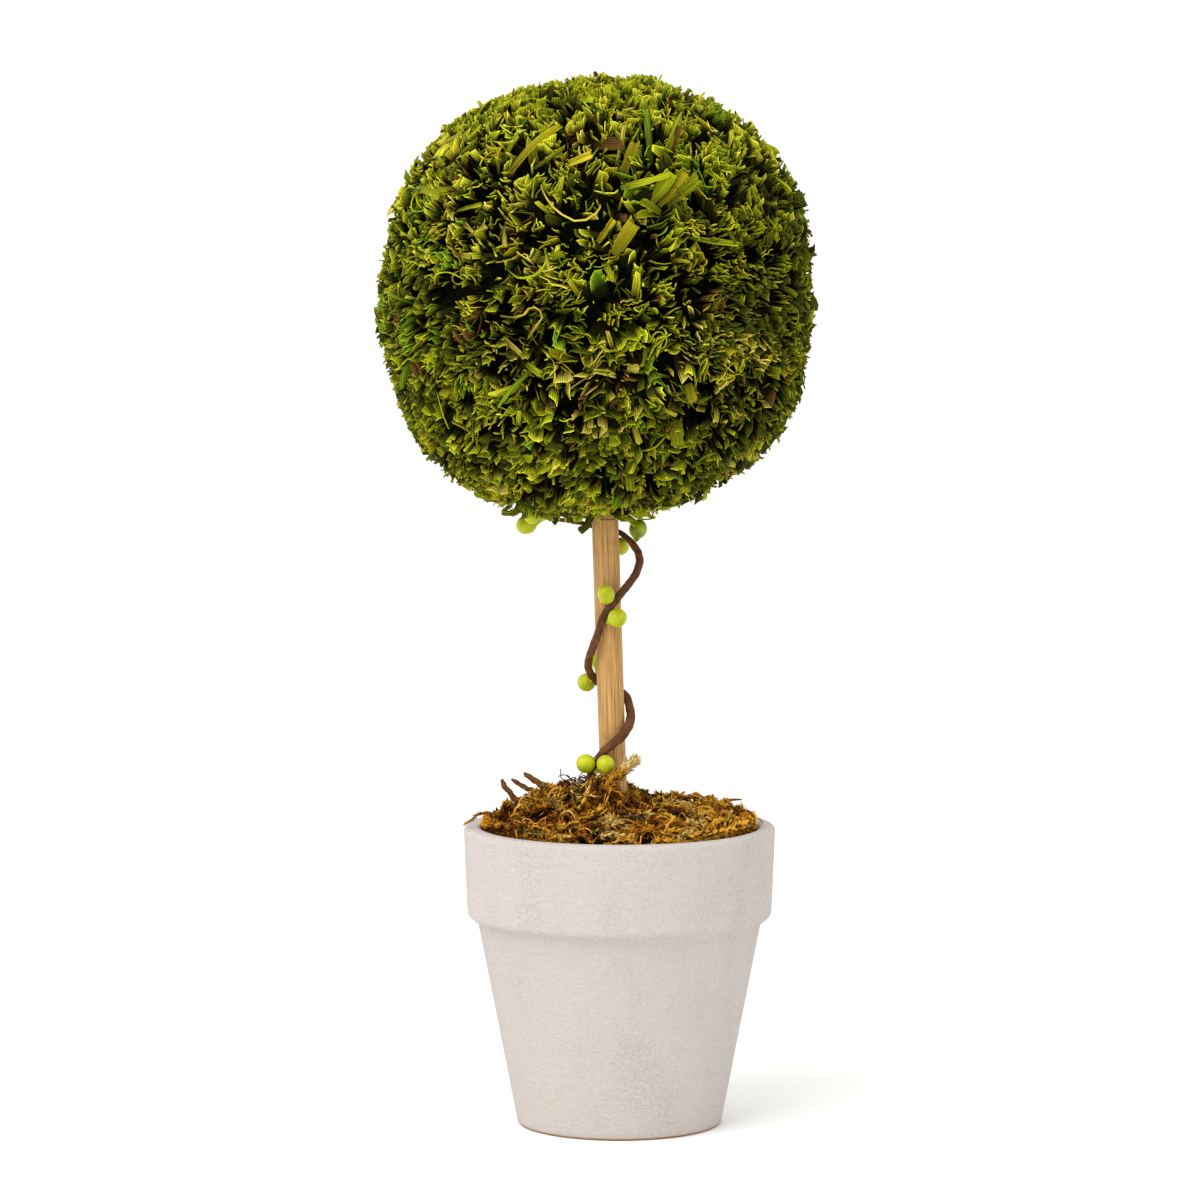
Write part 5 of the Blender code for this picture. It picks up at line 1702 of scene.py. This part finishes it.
def bristles(path, radius, rng, crowd, spread, size, thin=0.6):
    """A strand's leaves as quads, set round it on a spiral and combed onwards, on a thin stem.
    crowd is leaves to the millimetre, and thin is how much the strand thins to its tip. Gives
    the quads' points, and each one's own number and millimetres below its leaf's tip."""
    path = np.array([tuple(place) for place in path])
    length = np.linalg.norm(np.diff(path, axis=0), axis=1).sum()
    count = int(length / MM * crowd)
    t = np.sort(rng.uniform(0, 1, count)) * (len(path) - 1)
    low = np.minimum(t.astype(int), len(path) - 2)
    part = (t - low)[:, None]
    middle = path[low] * (1 - part) + path[low + 1] * part
    onward = unit(path[low + 1] - path[low])
    some = unit(np.cross(onward, np.array((0.31, 0.17, 0.94))))
    other = np.cross(onward, some)
    turn = (np.arange(count) * GOLDEN + rng.normal(0, 1.2, count))[:, None]
    out = turned(some, other, turn)
    across = np.cross(onward, out)
    taper = (1 - thin * (t / (len(path) - 1)) ** 2)[:, None]
    open_ = rng.uniform(*spread, count)[:, None]
    reach = radius * rng.uniform(*size, count)[:, None] * taper
    foot = middle + out * radius * 0.3 * taper
    way = unit(onward * (1.2 - open_) + out * open_)
    bow = np.cross(way, across) * reach * rng.uniform(-0.05, 0.25, count)[:, None]
    wide = (0.13 * MM + 0.06 * reach) * rng.uniform(0.7, 1.3, count)[:, None]
    waist = foot + way * reach * 0.5 + bow
    leaves = np.stack((foot, waist + across * wide, foot + way * reach, waist - across * wide),
                      axis=1)
    # The stem: a five-sided tube of quads inside the leaves' feet.
    ways = unit(np.gradient(path, axis=0))
    side = unit(np.cross(ways, np.array((0.31, 0.17, 0.94))))
    up = np.cross(ways, side)
    turns = np.linspace(0, 2 * math.pi, 6)[None, :, None]
    shrink = (1 - thin * np.linspace(0, 1, len(path)) ** 2)[:, None, None]
    ring = path[:, None] + 0.34 * radius * shrink * turned(side[:, None], up[:, None], turns)
    stem = np.stack((ring[:-1, :-1], ring[:-1, 1:], ring[1:, 1:], ring[1:, :-1]), axis=2)
    stem = stem.reshape(-1, 3)
    marks = np.empty((count, 4, 2))
    marks[..., 0] = rng.uniform(0, TONE_SPREAD, (count, 1))
    marks[..., 1] = reach / MM * (-1, -0.5, 0, -0.5)
    marks = np.concatenate((marks.reshape(-1, 2), np.tile((0.0, -2.0), (len(stem), 1))))
    return np.concatenate((leaves.reshape(-1, 3), stem)), marks


class TOPIARY_OT_limbs(Operator):
    """Makes the bark curls, the sprig, the twig and the blade that stand out of the moss"""

    bl_idname = "topiary.limbs"
    bl_label = "Limbs"

    def execute(self, context):
        settings = context.scene.topiary_moss
        bark = dry_bark("dry_bark", settings.bark)
        for name, *shape in MOSS_LIMBS:
            route, radii = self.limb(*shape)
            if name.startswith("bark_curl"):
                data = mesh_of(self.curl(name, route, radii), name, sharp=50)
                add_piece(f"{name}_furrowed", data, [bark], "dry_bark", name)
            elif name == "rim_twig":
                bm = swept(route, radii, 8, lambda along, turn: 1 + 0.25 * noise.noise(
                    around(turn, 1, along * 400)))
                add_piece(f"{name}_furrowed", mesh_of(bm, name), [bark], "dry_bark", name)
            elif name == "moss_sprig":
                self.sprig(name, settings)
            else:
                self.blade(name, settings)
        return {"FINISHED"}

    def limb(self, x, y, direction, run, middle, rise, radius):
        """A limb's route and radii, from below the moss to its tip."""
        way = around(math.radians(direction))
        base = Vector((x * MM, y * MM, 0))
        base.z = moss_height(base.x, base.y) - 3 * MM
        up = Vector((0, 0, MM))
        run *= MM
        stations = [base]
        for share, above in ((0.18, middle * 0.5), (0.58, middle), (1, rise)):
            stations.append(base + way * share * run + up * (3 + above))
        route = smooth_route(stations, 8)
        last = len(route) - 1
        radii = [radius * MM * (1 - 0.65 * (index / last) ** 2) for index in range(last + 1)]
        return route, radii

    def sprig(self, name, settings):
        """A straight feathery brush: golden to its middle, and pale to its blunt tip."""
        rng = np.random.default_rng(5)
        route = smooth_route([Vector(station) * MM for station in SPRIG], 4)
        half = len(route) // 2
        low = bristles(route[:half + 1], 2.4 * MM, rng, 50, (0.25, 0.7), (0.9, 1.7), 0)
        high = bristles(route[half:-2], 2.4 * MM, rng, 70, (0.15, 0.55), (1.0, 2.2), 0.2)
        points, marks = (np.concatenate(parts) for parts in zip(low, high))
        quads = np.arange(len(points)).reshape(-1, 4)
        data = joined_mesh(name, points, quads, marks, quads[:, 0] >= len(low[0]))
        finishes = [dry_moss("dry_moss_sprig", settings.gold, settings.under),
                    dry_moss("dry_moss_pale", settings.pale, shade(settings.gold, 0.8))]
        add_piece(f"{name}_feathered", data, finishes, "dry_moss", name)

    def curl(self, name, route, radii):
        """A rough rolled shred of bark, thick to its torn end."""
        seed = Vector((0, 0, sum(map(ord, name))))
        last = len(route) - 1
        # Each part of the shake is noise at a spot of its own.
        rough = [place + 0.5 * MM * Vector([noise.noise(place * 350 + seed + spot * 9.3)
                                            for spot in Matrix.Identity(3)])
                 for place in route]
        thick = [max(radius, 0.84 * radii[0]) * (1 if index < last - 1 else 0.6)
                 for index, radius in enumerate(radii)]

        def torn(along, turn):
            spot = around(turn, 1.5, along * 500) + seed
            return 0.98 + 0.8 * noise.noise(spot) + 0.35 * noise.noise(spot * 3)

        return swept(rough, thick, 12, torn, 0.7)

    def blade(self, name, settings):
        """A blade of grass on a thin stem."""
        route = smooth_route([Vector(station) * MM for station in GRASS], 3)
        path = np.array([[tuple(place) for place in route]])
        uneven = np.where(path[..., 0] < 7.6 * MM, 0.45, 1.0)
        look = {"side": np.array([(0.1, 0.75, 0.65)]), "width": np.array([1.3 * MM]),
                "thick": np.array([0.2 * MM]), "curl": np.array([0.8]),
                "twist": np.array([0.5]), "depth": np.zeros((1, len(route))), "uneven": uneven}
        data = strip_mesh(name, path, look, 5)
        finish = dried_leaf("dried_grass", settings.grass, 0.3, 0.9)
        add_piece(f"{name}_flat", data, [finish], "grass_green", name)


class TOPIARY_OT_stage(Operator):
    """Makes the floor, the light and the camera"""

    bl_idname = "topiary.stage"
    bl_label = "Stage"

    def execute(self, context):
        settings = context.scene.topiary_stage
        scene = context.scene
        bm = bmesh.new()
        bmesh.ops.create_grid(bm, x_segments=2, y_segments=2, size=3)
        bmesh.ops.translate(bm, verts=bm.verts, vec=(0, 0, -0.02 * MM))
        floor = add_object("studio_floor", mesh_of(bm, "studio_floor", smooth=False))
        floor.data.materials.append(studio_paper(settings.paper))
        world = bpy.data.worlds.new("studio_sky")
        world.use_nodes = True
        back = world.node_tree.nodes["Background"]
        back.inputs["Color"].default_value = (1, 1, 1, 1)
        back.inputs["Strength"].default_value = settings.sky
        scene.world = world
        # A large soft box at the front, up and to the left.
        data = bpy.data.lights.new("key_softbox", "AREA")
        data.energy = settings.key
        data.size = 1.8
        lamp = add_object("key_softbox", data)
        lamp.location = (-0.95, -1.06, 2.0)
        aim = Vector((0, 0, 0.2)) - lamp.location
        lamp.rotation_euler = aim.to_track_quat("-Z", "Y").to_euler()
        # The camera stands at the front, level with the ball, and looks down a little.
        camera = bpy.data.cameras.new("camera")
        camera.sensor_width = 36
        camera.lens = 146.47
        camera.clip_start = 0.05
        holder = add_object("camera", camera)
        holder.location = (-0.00675, -settings.distance, 0.33203)
        holder.rotation_euler = (math.radians(90 - 5.0976), 0, 0)
        scene.camera = holder
        scene.view_settings.view_transform = "Standard"
        return {"FINISHED"}


class TOPIARY_PT_panel(Panel):
    """Lists what the topiary is made of"""

    bl_idname = "TOPIARY_PT_panel"
    bl_label = "Ball topiary"
    bl_space_type = "VIEW_3D"
    bl_region_type = "UI"
    bl_category = "Topiary"

    def draw(self, context):
        for operator in OPERATORS:
            self.layout.operator(operator.bl_idname)


SETTINGS = {
    "topiary_pot": TopiaryPotSettings,
    "topiary_stick": TopiaryStickSettings,
    "topiary_ball": TopiaryBallSettings,
    "topiary_moss": TopiaryMossSettings,
    "topiary_stage": TopiaryStageSettings,
}
OPERATORS = (
    TOPIARY_OT_pot,
    TOPIARY_OT_stick,
    TOPIARY_OT_vine,
    TOPIARY_OT_berries,
    TOPIARY_OT_ball_core,
    TOPIARY_OT_ball_strips,
    TOPIARY_OT_moss,
    TOPIARY_OT_limbs,
    TOPIARY_OT_stage,
)
CLASSES = (*SETTINGS.values(), *OPERATORS, TOPIARY_PT_panel)


def register():
    for made in CLASSES:
        bpy.utils.register_class(made)
    for name, group in SETTINGS.items():
        setattr(bpy.types.Scene, name, PointerProperty(type=group))


def unregister():
    for name in SETTINGS:
        delattr(bpy.types.Scene, name)
    for made in reversed(CLASSES):
        bpy.utils.unregister_class(made)


def main():
    """Makes every piece."""
    register()
    for operator in OPERATORS:
        group, name = operator.bl_idname.split(".")
        getattr(getattr(bpy.ops, group), name)()


if __name__ == "__main__":
    main()
